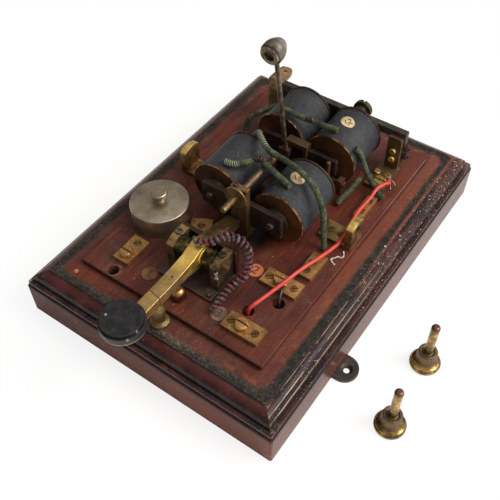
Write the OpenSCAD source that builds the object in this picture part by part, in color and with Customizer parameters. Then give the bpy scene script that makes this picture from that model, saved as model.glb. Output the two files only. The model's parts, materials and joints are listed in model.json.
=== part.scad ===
// Telegraph block bell movement on a mahogany base: two pairs of bell coils, a pivoted
// armature with its hammer, a tapping key, a lightning protector and the wiring.
// Millimetres. X across the short side, Y from the key to the hammer, Z up.
// The origin is the centre of the base's underside.

/* [Base] */
// Width of the base across the short side
base_w = 200; // [190:1:230]
// Length of the base
base_l = 277; // [268:1:320]
// Height of the plain lower part
plinth_h = 27.5; // [20:0.5:40]
// Plan corner radius of the lower part
plinth_r = 1.5; // [0.5:0.5:8]
// Radius of the lower part's top edge
plinth_arris = 2; // [0.5:0.5:4]
// Height of the moulded upper board
board_h = 12; // [10:0.5:16]
// How far the moulded board stands back from the lower part
board_inset = 1; // [0.5:0.5:4]
// Height of the flat fillet under the board's round
board_fillet = 2.7; // [1:0.1:4]
// Step between that fillet and the round
board_step = 2.9; // [0.2:0.1:3.5]
// Radius of the board's round edge
ovolo_r = 8.3; // [5:0.1:9.5]
// Width of the raised middle panel
panel_w = 145; // [143:1:160]
// Length of the raised middle panel
panel_l = 218; // [216:1:236]
// Thickness of the raised middle panel
panel_t = 3.5; // [2:0.5:6]
// Diameter of the three wire holes
wire_hole_d = 7.8; // [5:0.1:9]

/* [Fixing lugs] */
// Width of each fixing lug
lug_w = 20; // [16:1:26]
// How far a lug reaches out from the side
lug_reach = 13.5; // [11:0.5:20]
// How far a lug runs in under the base
lug_seat = 14; // [8:1:30]
// Thickness of a lug
lug_t = 3; // [2:0.5:5]
// Diameter of a lug's screw hole
lug_hole_d = 4; // [3:0.5:6]
// Diameter of that hole's countersink
lug_csk_d = 8; // [7:0.5:11]
// Distance of the lugs from the middle of the base, along the side
lug_y = 58.3; // [20:1:100]

/* [Cover posts] */
// Distance between the outer faces of the two cover posts
post_span = 141; // [138:0.5:143]
// Thickness of a post
post_t = 5; // [4:0.5:6]
// Width of a post
post_w = 15.4; // [14:0.1:18]
// Height of the post's hole above the panel
post_hole_h = 14; // [12:0.5:20]
// Diameter of the post's hole
post_hole_d = 6.2; // [4:0.1:8]
// Length of the post's foot
post_foot = 20; // [19:0.5:21]

/* [Coils] */
// Diameter of the coil cheeks
cheek_d = 40; // [36:0.5:41]
// Thickness of the coil cheeks
cheek_t = 1.6; // [1:0.1:3]
// Diameter over the wrapped winding
winding_d = 38.4; // [30:0.1:39.5]
// Diameter of the iron cores
core_d = 12; // [8:0.5:14]
// Space between the coil cheeks and the panel
coil_lift = 1.5; // [0.5:0.1:6]
// Distance between the axes of the front coils
front_pitch = 49; // [44:0.5:50]
// Length of the front coils
front_coil_l = 41.5; // [30:0.5:42.5]
// Distance between the axes of the rear coils
rear_pitch = 41.5; // [41.2:0.1:43]
// Length of the rear coils
rear_coil_l = 39; // [30:0.5:42]
// Thickness of the iron yokes
yoke_t = 4; // [3:0.5:6]
// Height of the front yoke
yoke_h = 17.6; // [14:0.1:20]

/* [Armature] */
// Length of the armature bar
bar_l = 59.8; // [54:0.1:62]
// Height of the armature bar
bar_h = 12.7; // [10:0.1:13.5]
// Thickness of the armature bar
bar_t = 3.8; // [2:0.1:4.2]
// Gap between the armature bar and the rear poles
pole_gap = 2.3; // [2:0.1:3]
// Height of the armature's pivot above the panel
pivot_h = 9; // [7.5:0.1:9.5]
// Diameter of the armature's spindle
spindle_d = 3.2; // [2:0.1:4]
// Diameter of the hammer rod
rod_d = 3.2; // [2:0.1:4]
// Height of the hammer head above the panel
hammer_h = 116.8; // [80:0.1:125]
// Lean of the hammer rod to the front, in degrees
rod_lean = 10; // [0:0.5:14]
// Diameter of the hammer head
hammer_d = 15; // [12:0.5:18]
// Length of the hammer head
hammer_l = 14; // [13:0.5:18]

/* [Tapping key] */
// Width of the key lever
lever_w = 9.2; // [8:0.2:13]
// Height of the key's pivot above the panel
key_pivot_h = 20; // [19:0.5:22]
// Diameter of the key's axle
axle_d = 4; // [3:0.1:5]
// Diameter of the finger knob
knob_d = 28.4; // [24:0.1:34]
// Height of the finger knob
knob_h = 6.8; // [5:0.1:14]
// Play under the key's front stop
key_play = 2; // [1:0.1:2]

/* [Protector] */
// Diameter of the protector's cap
cap_d = 41.6; // [36:0.1:41.6]
// Height of the cap's side
cap_h = 15.5; // [12:0.5:20]
// Height of the cap's slightly domed top
cap_dome = 1.5; // [0.5:0.1:3]
// Diameter of the cap's knob
cap_knob_d = 12.4; // [8:0.1:16]

/* [Terminals] */
// Length of a terminal plate
plate_l = 27; // [25:0.5:28]
// Width of a terminal plate
plate_w = 12.7; // [11:0.1:13]
// Thickness of the terminal plates and of the feet
plate_t = 3; // [2:0.1:3.2]
// Diameter of the large clamp screws
clamp_d = 9.2; // [7:0.1:10]
// Diameter of the round number discs
disc_d = 11; // [8:0.5:12]

/* [Wiring] */
// Diameter of the covered coil leads
lead_d = 4.2; // [3:0.1:4.3]
// Diameter of the red wire
red_d = 2.6; // [1.6:0.1:2.8]
// Diameter of the black wire
black_d = 2; // [1.2:0.1:2.2]
// Diameter of the pigtail's wire
pigtail_wire = 1.9; // [1.4:0.1:1.9]
// Diameter over the pigtail's curls
pigtail_d = 6.3; // [5:0.1:6.5]
// Number of curls in the pigtail
pigtail_curls = 27; // [20:1:27]

/* [Cover screws] */
// Diameter of the cover screws' heads
thumb_d = 20.5; // [16:0.5:24]
// Height of the cover screws' heads
thumb_h = 8; // [6:0.5:12]
// Diameter of the cover screws' pins
thumb_pin_d = 5.7; // [4:0.1:6]
// Length of the cover screws' pins
thumb_pin_l = 32; // [20:0.5:36]

/* [Hidden] */
$fn = 48;

// Clearance of a turning or sliding fit, and of a screw in its hole
fit = 0.05;
// Space between curved faces that only lie near each other
near = 0.3;
// Overrun of a cut past the face that it opens
over = 1;

board_z = plinth_h + board_h;
deck = board_z + panel_t;
panel_front = -panel_l / 2;
panel_side = panel_w / 2;
plate_top = deck + plate_t;

// Coils: axes, ends and heights
cheek_r = cheek_d / 2;
winding_r = winding_d / 2;
core_r = core_d / 2;
tube_r = core_r + 1.5;
coil_z = deck + coil_lift + cheek_r;
front_coil_y = -21.3;
rear_coil_y = 46.7;
rear_coil_x = 2.85;
front_xs = [-front_pitch / 2, front_pitch / 2];
rear_xs = [rear_coil_x - rear_pitch / 2, rear_coil_x + rear_pitch / 2];
collar_r = core_r + 3.6;
front_collar = 3;
rear_collar = 1;
yoke_back = front_coil_y - front_collar;
yoke_front = yoke_back - yoke_t;
rear_yoke_y = rear_coil_y + rear_coil_l + rear_collar;
rear_yoke_back = rear_yoke_y + yoke_t + 1;
pole_y = rear_coil_y - near;
yoke_low = coil_z - yoke_h / 2;
yoke_top = coil_z + yoke_h / 2;
yoke_over = 7.5;

// Armature
pivot_y = 42.7;
pivot_z = deck + pivot_h;
bar_back = pole_y - pole_gap;
bar_front = bar_back - bar_t;
bar_x = 2.4;
bar_z = coil_z;
carrier_x0 = -8;
carrier_x1 = 9.5;
carrier_ear = 2.5;
carrier_front = bar_front - 2.2;
carrier_top = bar_z + bar_h / 2 + 3.6;
carrier_lug_r = rear_coil_y - near - pivot_y;
spindle_r = spindle_d / 2;
post_x = 34;
post_wide = 4;
rod_r = rod_d / 2;
rod_x = -6;
rod_foot_y = carrier_front - rod_r - 0.1;
rod_foot_z = bar_z - 0.5;
hammer_z = deck + hammer_h;
hammer_r = hammer_d / 2;
rod_reach = (hammer_z - rod_foot_z) / cos(rod_lean);
clamp_low = rod_foot_z - 1;
clamp_tall = 6;
clamp_thick = 2 * rod_r + 1.6;

// Adjusting screw and its spring tube
adjust_x = 1.7;
adjust_z = coil_z + 18.7;
adjust_w = 12.7;
adjust_t = 4.3;
adjust_front = yoke_front - adjust_t;
adjust_top = adjust_z + 5.5;
adjust_screw_r = 2.2;
lock_head_r = 1.9;
lock_shank_r = 0.9;
adjust_disc_r = 8.3;
adjust_disc_t = 1.5;
adjust_disc_gap = 1.8;
adjust_stub = 13.5;
adjust_tip_r = 1.2;
spring_tube_r = 2.3;
spring_bore_r = 1.5;
spring_tube_l = 37;

// Key
key_x = -0.5;
key_y = -72.3;
key_z = deck + key_pivot_h;
lever_half = lever_w / 2;
axle_r = axle_d / 2;
hub_r = axle_r + 4.5;
hub_x0 = key_x - 15.2;
hub_x1 = key_x + 12.6;
key_gap = 0.4;
key_ear = 6;
ear_left_x = hub_x0 - key_gap - key_ear;
ear_right_x = hub_x1 + key_gap;
ear_top = key_z + 5.3;
ear_front_drop = 3.6;
ear_slope = 6.5;
lever_under = key_z - 3.2;
lever_top = key_z + 4.5;
knob_y = panel_front - 34.8;
knob_r = knob_d / 2;
skirt_t = 2;
stop_x = key_x + 1;
stop_y = panel_front - 7.3;
stud_y = -96.3;
stop_arm = key_y - stop_y;
stud_arm = key_y - stud_y;
stud_h = 9;
contact_gap = key_play * stud_arm / stop_arm + near;

// Rear rail, brackets and disc
rail_x0 = -43.4;
rail_x1 = 61.5;
rail_low = coil_z + 7;
rail_top = coil_z + 12.5;
left_bracket_w = 12.4;
left_bracket_t = 4;
right_bracket_x = 50;
right_bracket_w = 10.5;
right_bracket_t = 3.5;
right_bracket_top = rail_low + 2;
bracket_screw_x = right_bracket_x + right_bracket_w / 2;
rail_tail_x = right_bracket_x - 1;
rail_tail_z = coil_z - 12.6;
right_foot_x0 = 47;
right_foot_w = 15;
right_foot_l = 28;
tongue_l = 15;
tongue_t = 2;
rear_disc_x = 22.6;
rear_disc_z = rail_top + 1;
rear_disc_r = 7;
rear_disc_t = 3.4;
rear_stem_r = 2;

// Screws
small_head_r = 2.6;
small_head_h = 2.2;
flush_head_r = 2.7;
flush_head_h = 1.4;
flush_proud = 0.2;
flush_slot = 0.6;
slot_half = 0.4;
small_shank_r = 1.3;
small_shank_l = plate_t + panel_t - 1;
clamp_r = clamp_d / 2;
clamp_h = 4;
clamp_shank_r = clamp_r * 0.45;
big_head_r = clamp_r * 1.1;
ball_screw_r = 1.4;

// Protector
cap_r = cap_d / 2;
cap_x = -54;
cap_y = -48;
cap_wall = 2;
cap_room = cap_h - 3;
cap_neck_r = 3.5;
cap_neck_h = 4;
cap_knob_h = 5;
protector_r = cap_r - cap_wall - near;

// Places on the panel: the front hole keeps to the corner, the rest to the key and coils
hole_front_left = [-panel_side + 23, panel_front + 5.2];
hole_side = [55.4, -64.5];
hole_row = [42.5, -80.1];
wire_holes = [hole_front_left, hole_side, hole_row];
z_plate = [35, -99.5];
l_plate = [35.2, -57.4];
e_plate = [-55.9, -96.2];
strip_a = [52.1, -38.8];
strip_a_size = [10.5, 21.8];
strip_b = [56.3, 26.7];
strip_b_size = [7, 23];
z_clamp = [z_plate[0] + 12, z_plate[1] + plate_w / 2];
z_smalls = [for (dx = [4.1, 22]) [z_plate[0] + dx, z_plate[1] + plate_w / 2]];
l_clamp = [l_plate[0] + 11.8, l_plate[1] + plate_w / 2];
l_smalls = [for (dx = [4, 22.8]) [l_plate[0] + dx, l_plate[1] + plate_w / 2]];
e_clamp = [e_plate[0] + plate_w / 2, e_plate[1] + 6.5];
e_plate_l = plate_l - 4.5;
e_small = [e_plate[0] + plate_w / 2, e_plate[1] + 17.5];
strip_a_screws = [[strip_a[0] + 4, strip_a[1] + 12.4], [strip_a[0] + 4, strip_a[1] + 5.4]];
strip_b_screws = [[strip_b[0] + 3.5, strip_b[1] + 6], [strip_b[0] + 3.5, strip_b[1] + 17]];
clamp_places = [z_clamp, l_clamp, e_clamp];
small_places = concat(z_smalls, l_smalls, [e_small], strip_a_screws, strip_b_screws);
disc_places = [[-27.5, -92.7], [27.8, -51], [28.6, -92.4]];
disc_h = 0.6;
cover_screw_places = [[144.7, -23.4], [147, -76.3]];
collar_h = 3;
lug_turns = [[0, -lug_y], [180, lug_y]];
core_bore = 8;
stop_pin_r = 1.8;
stop_pin_x = 27.5;
stop_pin_top = bar_z + bar_h / 2 - 1;

// Cover posts: hole places and foot screws
post_face = post_span / 2;
post_hole_z = deck + post_hole_h;
post_left_y = 3;
post_right_y = 6;
post_shoulder_z = post_hole_z + 5;
post_arch = 2.2;
post_arch_r = (pow(post_w / 2, 2) + pow(post_arch, 2)) / (2 * post_arch);
post_screw_xs = [post_face - 20, post_face - 11.5];
post_foot_places = [for (x = post_screw_xs) each [[x, post_right_y], [-x, post_left_y]]];

// Key parts' screws
key_plate_x0 = ear_left_x - 1;
key_plate_x1 = ear_right_x + key_ear + 1;
key_plate_y0 = -88.7;
key_plate_y1 = -56.3;
key_plate_t = 2;
ear_y0 = -79.3;
wall_y0 = -62.2;
wall_y1 = -58.4;
wall_top = ear_top - 2;
wall_notch = 8;
ear_screw_places = [[ear_left_x + 3, -69], [ear_right_x + 3, -69]];
ball_screw_at = [ear_right_x + 3.8, -86];
right_foot_screws = [[50.2, 72.7], [58.6, 72.7]];
big_screw_at = [right_foot_x0 + 9.9, rear_yoke_y - right_foot_l + 5];
bracket_screw_zs = [coil_z - 9.6, coil_z - 2.3];
back_contact_at = [-24.1, -41.4];
back_contact_turn = 30;
back_contact_size = [15.2, 13];

// Routes of the leads and wires, as points chosen along each one
lead_routes = [
    [[-38.9, 75.7, 66], [-43.3, 71.7, 64], [-48.5, 67.2, 61.5], [-53, 63.3, 58], [-56.8, 60.7, 52],
        [-57, 57.4, 44]],
    [[-18.6, 49.1, 88.4], [-16.4, 50.7, 88.2], [-5.4, 52, 86.4], [3.8, 53.1, 86], [14.1, 53.7, 86],
        [23.8, 54.5, 86.1]],
    [[-21.9, -14.4, 86.1], [-16.5, -14, 86.4], [-12.1, -11, 86.5], [-8.5, -7, 86.8], [-5.4, -3.3, 87.5],
        [-2.5, -1.7, 88.1], [3.6, -3.6, 88.2], [9.3, -5, 87.6], [15.8, -6.6, 86.7], [21.6, -8.2, 86.2],
        [26.4, -9.7, 86.1]],
    [[-24.5, 23.6, 80], [-20.8, 23.3, 84.8], [-15.5, 17.6, 87.9], [-2.2, 8.1, 89.6], [13, 4.7, 90.6],
        [26.1, 2.4, 90], [37.3, -0.6, 87], [45.2, -4.4, 82], [50.3, -6.7, 74], [52.2, -7.7, 62],
        [54.3, -9.3, 51], [56.1, -10.7, 44.1]],
    [[39.8, 52.7, 79], [42.7, 53.7, 76], [45.4, 54.7, 69], [48, 56.3, 61], [52, 56.8, 53.5],
        [60.6, 53.4, 48.8], [66.2, 51.9, 45.4]],
    [[41.8, 29.6, 45.4], [43.1, 34.1, 48], [45.4, 40.5, 52], [46.7, 46.9, 55.4], [47.4, 50.7, 56.6]]
];
red_route = [
    [61.6, 69.2, 47.4], [63.4, 64.5, 49.6], [62.4, 59.3, 51.9], [60.6, 51.9, 52.6], [60.2, 43.5, 50.4],
    [59.6, 32.7, 49.8], [60, 22.5, 49.6], [62.4, 0.7, 48], [61.4, -10.2, 48.2], [58.9, -24.9, 50.6],
    [55.4, -36.7, 50.8], [53, -48.9, 51.4],
    [49.2, -61.7, 49.4], [46.2, -72.3, 48.6], [43.8, -78.5, 46.6], [42.5, -80.1, 42], [42.5, -80.1, 33]
];
black_route = [
    [55.4, -64.5, 34], [55.4, -64.5, 42], [54.8, -62.9, 45.6], [53.6, -59.7, 47.8], [52.8, -56.7, 48],
    [52.6, -53.7, 47.2]
];
pigtail_route = [
    [-1.5, -74.5, 76.6], [4.6, -71.9, 77], [9.6, -67.9, 77.4], [12.6, -61.7, 77], [17.2, -57.6, 75.6],
    [22.6, -56.3, 71.6], [26.2, -56.7, 65.6], [28.4, -59.3, 59.6], [29, -64.3, 54.4], [27.6, -69.9, 51.4],
    [25.4, -75.7, 49.6], [24.6, -81.9, 48.4], [24.8, -88.3, 47.4], [25.4, -94.9, 46.9]
];
lead_step = 10;
wire_step = 6.5;
curl_rings = 8;
curl_sides = 6;
end_run = pigtail_wire;

// Small vector helpers
function unit(v) = v / norm(v);
function last(list) = list[len(list) - 1];

// A smooth curve through the points, a few straight pieces to each span
function curve_at(p0, p1, p2, p3, t) = 0.5 * (2 * p1 + (p2 - p0) * t
    + (2 * p0 - 5 * p1 + 4 * p2 - p3) * pow(t, 2) + (3 * p1 - p0 - 3 * p2 + p3) * pow(t, 3));
function smooth(points, per_span) = let (end = len(points) - 1) concat(
    [for (i = [0:end - 1], k = [0:per_span - 1]) curve_at(
        points[max(i - 1, 0)], points[i], points[i + 1], points[min(i + 2, end)], k / per_span)],
    [last(points)]);

// Running length at each point, and points at equal steps of length
function lengths(points) = [for (i = 0, s = 0; i < len(points);
    s = s + (i + 1 < len(points) ? norm(points[i + 1] - points[i]) : 0), i = i + 1) s];
function find_span(runs, s, i = 0) = i >= len(runs) - 2 || runs[i + 1] > s ? i : find_span(runs, s, i + 1);
function along(points, runs, s) = let (i = find_span(runs, s))
    points[i] + (points[i + 1] - points[i]) * (s - runs[i]) / (runs[i + 1] - runs[i]);
function even_steps(points, count) = let (runs = lengths(points), total = last(runs))
    [for (k = [0:count]) along(points, runs, total * k / count)];

// Directions along a line of points, and a side direction carried along without twist
function headings(points) = [for (i = [0:len(points) - 1])
    unit(points[min(i + 1, len(points) - 1)] - points[max(i - 1, 0)])];
function drop_part(v, t) = unit(v - (v * t) * t);
function first_side(t) = drop_part(abs(t[2]) < 0.8 ? [0, 0, 1] : [1, 0, 0], t);
function sides_along(heads) = [for (i = 0, n = first_side(heads[0]); i < len(heads);
    n = i + 1 < len(heads) ? drop_part(n, heads[i + 1]) : n, i = i + 1) n];

// A round tube of one width along the points, as one closed skin of triangles
module swept_tube(points, r, count) {
    heads = headings(points);
    normals = sides_along(heads);
    rings = len(points);
    skin = [for (i = [0:rings - 1], k = [0:count - 1]) let (side = cross(heads[i], normals[i]))
        points[i] + r * (cos(360 * k / count) * normals[i] + sin(360 * k / count) * side)];
    walls = [for (i = [0:rings - 2], k = [0:count - 1])
        let (a = i * count + k, b = i * count + (k + 1) % count)
        each [[a, b + count, b], [a, a + count, b + count]]];
    near_end = [for (k = [1:count - 2]) [0, k, k + 1]];
    start = (rings - 1) * count;
    far_end = [for (k = [1:count - 2]) [start, start + k + 1, start + k]];
    polyhedron(points = skin, faces = concat(walls, near_end, far_end));
}

module cord(route, d, step) {
    dense = smooth(route, 6);
    rings = max(2, ceil(last(lengths(dense)) / step));
    swept_tube(even_steps(dense, rings), d / 2, 8);
}

// The pigtail's curls: a helix round the smoothed route
curl_r = (pigtail_d - pigtail_wire) / 2;
pigtail_steps = pigtail_curls * curl_rings;
pigtail_line = even_steps(smooth(pigtail_route, 8), pigtail_steps);
pigtail_heads = headings(pigtail_line);
pigtail_sides = sides_along(pigtail_heads);
curl_points = [for (i = [0:pigtail_steps]) let (turn = 360 * i / curl_rings)
    pigtail_line[i] + curl_r * (cos(turn) * pigtail_sides[i]
    + sin(turn) * cross(pigtail_heads[i], pigtail_sides[i]))];
curl_first = unit(curl_points[1] - curl_points[0]);
curl_last = unit(last(curl_points) - curl_points[pigtail_steps - 1]);
pigtail_points = concat([curl_points[0] - end_run * curl_first], curl_points,
    [last(curl_points) + end_run * curl_last]);
self_gap = min([for (i = [0:len(pigtail_points) - 1], k = [i + 5:1:len(pigtail_points) - 1])
    norm(pigtail_points[i] - pigtail_points[k])]) - pigtail_wire;
echo("pigtail least gap to itself", self_gap);

// Plain shapes between two faces
module block(x0, x1, y0, y1, z0, z1) {
    translate([x0, y0, z0]) cube([x1 - x0, y1 - y0, z1 - z0]);
}

module rod_along_x(r, x0, x1) {
    translate([x0, 0, 0]) rotate([0, 90, 0]) cylinder(r = r, h = x1 - x0);
}

module rod_along_y(r, y0, y1) {
    translate([0, y0, 0]) rotate([-90, 0, 0]) cylinder(r = r, h = y1 - y0);
}

// A slotted cheese-head screw, its head's underside at the origin
module slotted_screw(head_r, head_h, shank_r, shank_l) {
    slot_w = head_r * 0.3;
    difference() {
        union() {
            cylinder(r = head_r, h = head_h * 0.7);
            translate([0, 0, head_h * 0.7]) cylinder(r1 = head_r, r2 = head_r * 0.82, h = head_h * 0.3);
        }
        translate([-head_r - over, -slot_w / 2, head_h * 0.55]) cube([2 * head_r + 2 * over, slot_w, head_h]);
    }
    translate([0, 0, -shank_l]) cylinder(r = shank_r, h = shank_l);
}

module small_screw(shank_l = small_shank_l) {
    slotted_screw(small_head_r, small_head_h, small_shank_r, shank_l);
}

module clamp_screw() {
    slotted_screw(clamp_r, clamp_h, clamp_shank_r, small_shank_l);
}

// A screw whose slotted head sits level in a plate, for a plate top at the origin
module flush_screw(turn = 0) {
    rotate([0, 0, turn]) translate([0, 0, -flush_head_h]) difference() {
        cylinder(r = flush_head_r, h = flush_head_h + flush_proud);
        translate([-flush_head_r - over, -slot_half, flush_head_h - flush_slot])
            cube([2 * (flush_head_r + over), 2 * slot_half, over]);
    }
    translate([0, 0, -small_shank_l]) cylinder(r = small_shank_r, h = small_shank_l - flush_head_h);
}

module flush_drilling(places) {
    drilled(places, small_shank_r, plate_top, plate_t + over);
    drilled(places, flush_head_r, plate_top, flush_head_h + fit);
}

// Screw holes down from a height at a list of places
module drilled(places, r, top, depth) {
    for (p = places) translate([p[0], p[1], top - depth]) cylinder(r = r + fit, h = depth + over);
}

module deck_drilling() {
    shanks = concat(small_places, post_foot_places, right_foot_screws, [big_screw_at, back_contact_at]);
    drilled(shanks, small_shank_r, plate_top, small_shank_l);
    drilled(clamp_places, clamp_shank_r, plate_top, small_shank_l);
}

// Base

// The plan shape of the base with round corners
module rounded_plan(w, l, r) {
    square([w - 2 * r, l], center = true);
    square([w, l - 2 * r], center = true);
    for (sx = [-1, 1], sy = [-1, 1]) translate([sx * (w / 2 - r), sy * (l / 2 - r)]) circle(r = r);
}

// Half-round edged profile of the lower part, across a given width
module plinth_profile(w) {
    a = plinth_arris;
    translate([-w / 2, 0]) square([w, plinth_h - a]);
    translate([-w / 2 + a, 0]) square([w - 2 * a, plinth_h]);
    for (s = [-1, 1]) translate([s * (w / 2 - a), plinth_h - a]) circle(r = a);
}

// Profile of the moulded board, across a given width: a flat fillet, then a quarter round
module board_profile(w) {
    half = w / 2 - board_inset;
    round_x = half - board_step - ovolo_r;
    translate([-half, 0]) square([2 * half, board_fillet]);
    translate([-round_x, 0]) square([2 * round_x, board_h]);
    for (s = [-1, 1]) intersection() {
        translate([s * round_x, board_fillet]) circle(r = ovolo_r);
        translate([s * (round_x + ovolo_r) / 2, board_fillet + ovolo_r / 2])
            square([round_x + ovolo_r, ovolo_r], center = true);
    }
}

// A shape whose profile runs along the sides and along the ends, mitred at the corners
module mitred(w, l, h, r) {
    intersection() {
        rotate([90, 0, 0]) linear_extrude(height = l + 2, center = true) children(0);
        rotate([90, 0, 90]) linear_extrude(height = w + 2, center = true) children(1);
        linear_extrude(height = h) rounded_plan(w, l, r);
    }
}

module lug_outline(grow = 0) {
    tip = base_w / 2 + lug_reach - lug_w / 2;
    translate([tip, 0]) circle(r = lug_w / 2 + grow);
    translate([base_w / 2 - lug_seat - grow, -lug_w / 2 - grow])
        square([tip - base_w / 2 + lug_seat + grow, lug_w + 2 * grow]);
}

module each_lug() {
    for (place = lug_turns) translate([0, place[1], 0]) rotate([0, 0, place[0]]) children();
}

module plinth() {
    color("#5a2a1e") difference() {
        mitred(base_w, base_l, plinth_h, plinth_r) {
            plinth_profile(base_w);
            plinth_profile(base_l);
        }
        each_lug() translate([0, 0, -over]) linear_extrude(height = lug_t + over) lug_outline(fit);
    }
}

module base_board() {
    color("#4a2018") difference() {
        translate([0, 0, plinth_h]) mitred(base_w - 2 * board_inset, base_l - 2 * board_inset, board_h, 1.5) {
            board_profile(base_w);
            board_profile(base_l);
        }
        drilled(wire_holes, wire_hole_d / 2, board_z, board_h);
    }
}

module panel() {
    color("#6b2c22") difference() {
        block(-panel_side, panel_side, -panel_l / 2, panel_l / 2, board_z, deck);
        drilled(wire_holes, wire_hole_d / 2, deck, panel_t + over);
        deck_drilling();
    }
}

module fixing_lugs() {
    csk_depth = (lug_csk_d - lug_hole_d) / 2;
    color("#2c211c") each_lug() difference() {
        linear_extrude(height = lug_t) lug_outline();
        translate([base_w / 2 + lug_reach - lug_w / 2 + 2, 0, -over]) {
            cylinder(r = lug_hole_d / 2, h = lug_t + 2 * over);
            translate([0, 0, over + lug_t - csk_depth])
                cylinder(r1 = lug_hole_d / 2, r2 = lug_csk_d / 2, h = csk_depth + 0.001);
        }
    }
}

// Cover posts: an upright lug with an arched top and a foot turned inwards, about its own middle
module cover_post() {
    half = post_w / 2;
    inner = post_face - post_t;
    difference() {
        union() {
            block(inner, post_face, -half, half, deck, post_shoulder_z);
            intersection() {
                block(inner, post_face, -half, half, post_shoulder_z - over, post_shoulder_z + post_w);
                translate([0, 0, post_shoulder_z + post_arch - post_arch_r])
                    rod_along_x(post_arch_r, inner, post_face);
            }
            block(inner - post_foot, inner + 0.01, -half, half, deck, plate_top);
        }
        translate([0, 0, post_hole_z]) rod_along_x(post_hole_d / 2, inner - over, post_face + over);
        flush_drilling([for (x = post_screw_xs) [x, 0]]);
    }
}

module cover_post_right() {
    color("#a07c3c") translate([0, post_right_y, 0]) cover_post();
}

module cover_post_left() {
    color("#a07c3c") translate([0, post_left_y, 0]) mirror([1, 0, 0]) cover_post();
}

module cover_post_screws() {
    color("#b08d4a") for (p = post_foot_places) translate([p[0], p[1], plate_top]) flush_screw(60);
}

// Coils
module yoke_screw_places(xs) {
    for (x = xs) translate([x, 0, coil_z]) children();
}

module front_yoke() {
    color("#3a3634") difference() {
        block(front_xs[0] - yoke_over, front_xs[1] + yoke_over, yoke_front, yoke_back, yoke_low, yoke_top);
        yoke_screw_places(front_xs) rod_along_y(small_shank_r + fit, yoke_front - over, yoke_back + over);
    }
}

module rear_yoke() {
    color("#3a3634") difference() {
        block(rail_x0, rear_xs[1] + yoke_over + 2, rear_yoke_y, rear_yoke_back, yoke_low, rail_low);
        yoke_screw_places(rear_xs)
            rod_along_y(small_shank_r + fit, rear_yoke_y - over, rear_yoke_back + over);
    }
}

module front_cores() {
    color("#55504c") yoke_screw_places(front_xs) difference() {
        union() {
            rod_along_y(core_r, yoke_back, front_coil_y + front_coil_l + near);
            rod_along_y(collar_r, yoke_back, front_coil_y);
        }
        rod_along_y(small_shank_r + fit, yoke_back - over, yoke_back + core_bore);
    }
}

module rear_cores() {
    color("#55504c") yoke_screw_places(rear_xs) difference() {
        union() {
            rod_along_y(core_r, pole_y, rear_yoke_y);
            rod_along_y(collar_r, rear_yoke_y - rear_collar, rear_yoke_y);
        }
        rod_along_y(small_shank_r + fit, rear_yoke_y - core_bore, rear_yoke_y + over);
    }
}

module yoke_screws() {
    color("#4a4340") {
        yoke_screw_places(front_xs) translate([0, yoke_front, 0]) rotate([90, 0, 0])
            small_screw(yoke_t + core_bore - 1);
        yoke_screw_places(rear_xs) translate([0, rear_yoke_back, 0]) rotate([-90, 0, 0])
            small_screw(rear_yoke_back - rear_yoke_y + core_bore - 1);
    }
}

// A bobbin: two round cheeks on a tube that slides over the core
module bobbin(x, y, l) {
    color("#6e4526") translate([x, 0, coil_z]) difference() {
        union() {
            rod_along_y(cheek_r, y, y + cheek_t);
            rod_along_y(cheek_r, y + l - cheek_t, y + l);
            rod_along_y(tube_r, y, y + l);
        }
        rod_along_y(core_r + fit, y - over, y + l + over);
    }
}

module winding(x, y, l) {
    color("#4e5464") translate([x, 0, coil_z]) difference() {
        rod_along_y(winding_r, y + cheek_t, y + l - cheek_t);
        rod_along_y(tube_r + fit, y, y + l);
    }
}

module bobbin_front_left() { bobbin(front_xs[0], front_coil_y, front_coil_l); }
module bobbin_front_right() { bobbin(front_xs[1], front_coil_y, front_coil_l); }
module bobbin_rear_left() { bobbin(rear_xs[0], rear_coil_y, rear_coil_l); }
module bobbin_rear_right() { bobbin(rear_xs[1], rear_coil_y, rear_coil_l); }
module winding_front_left() { winding(front_xs[0], front_coil_y, front_coil_l); }
module winding_front_right() { winding(front_xs[1], front_coil_y, front_coil_l); }
module winding_rear_left() { winding(rear_xs[0], rear_coil_y, rear_coil_l); }
module winding_rear_right() { winding(rear_xs[1], rear_coil_y, rear_coil_l); }

// Rear rail on the rear yoke, with a boss for the disc
module rear_rail() {
    color("#2e2a28") difference() {
        union() {
            block(rail_x0, rail_x1, rear_yoke_y, rear_yoke_back, rail_low, rail_top);
            block(rail_tail_x, rail_x1, rear_yoke_y, rear_yoke_back, rail_tail_z, rail_low + 0.01);
            translate([rear_disc_x, 0, rear_disc_z])
                rod_along_y(rear_disc_r * 0.65, rear_yoke_y, rear_yoke_back);
        }
        translate([rear_disc_x, 0, rear_disc_z])
            rod_along_y(rear_stem_r + fit, rear_yoke_y - over, rear_yoke_back + over);
        for (z = bracket_screw_zs) translate([bracket_screw_x, 0, z])
            rod_along_y(small_shank_r + fit, rear_yoke_y - over, rear_yoke_back + over);
    }
}

module rear_disc() {
    slot = 1.2;
    color("#6d5f4a") translate([rear_disc_x, 0, rear_disc_z]) {
        difference() {
            rod_along_y(rear_disc_r, rear_yoke_back, rear_yoke_back + rear_disc_t);
            block(-slot / 2, slot / 2, rear_yoke_back + rear_disc_t / 2, rear_yoke_back + rear_disc_t + over,
                -rear_disc_r - over, rear_disc_r + over);
        }
        rod_along_y(rear_stem_r, rear_yoke_y, rear_yoke_back);
    }
}

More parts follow.
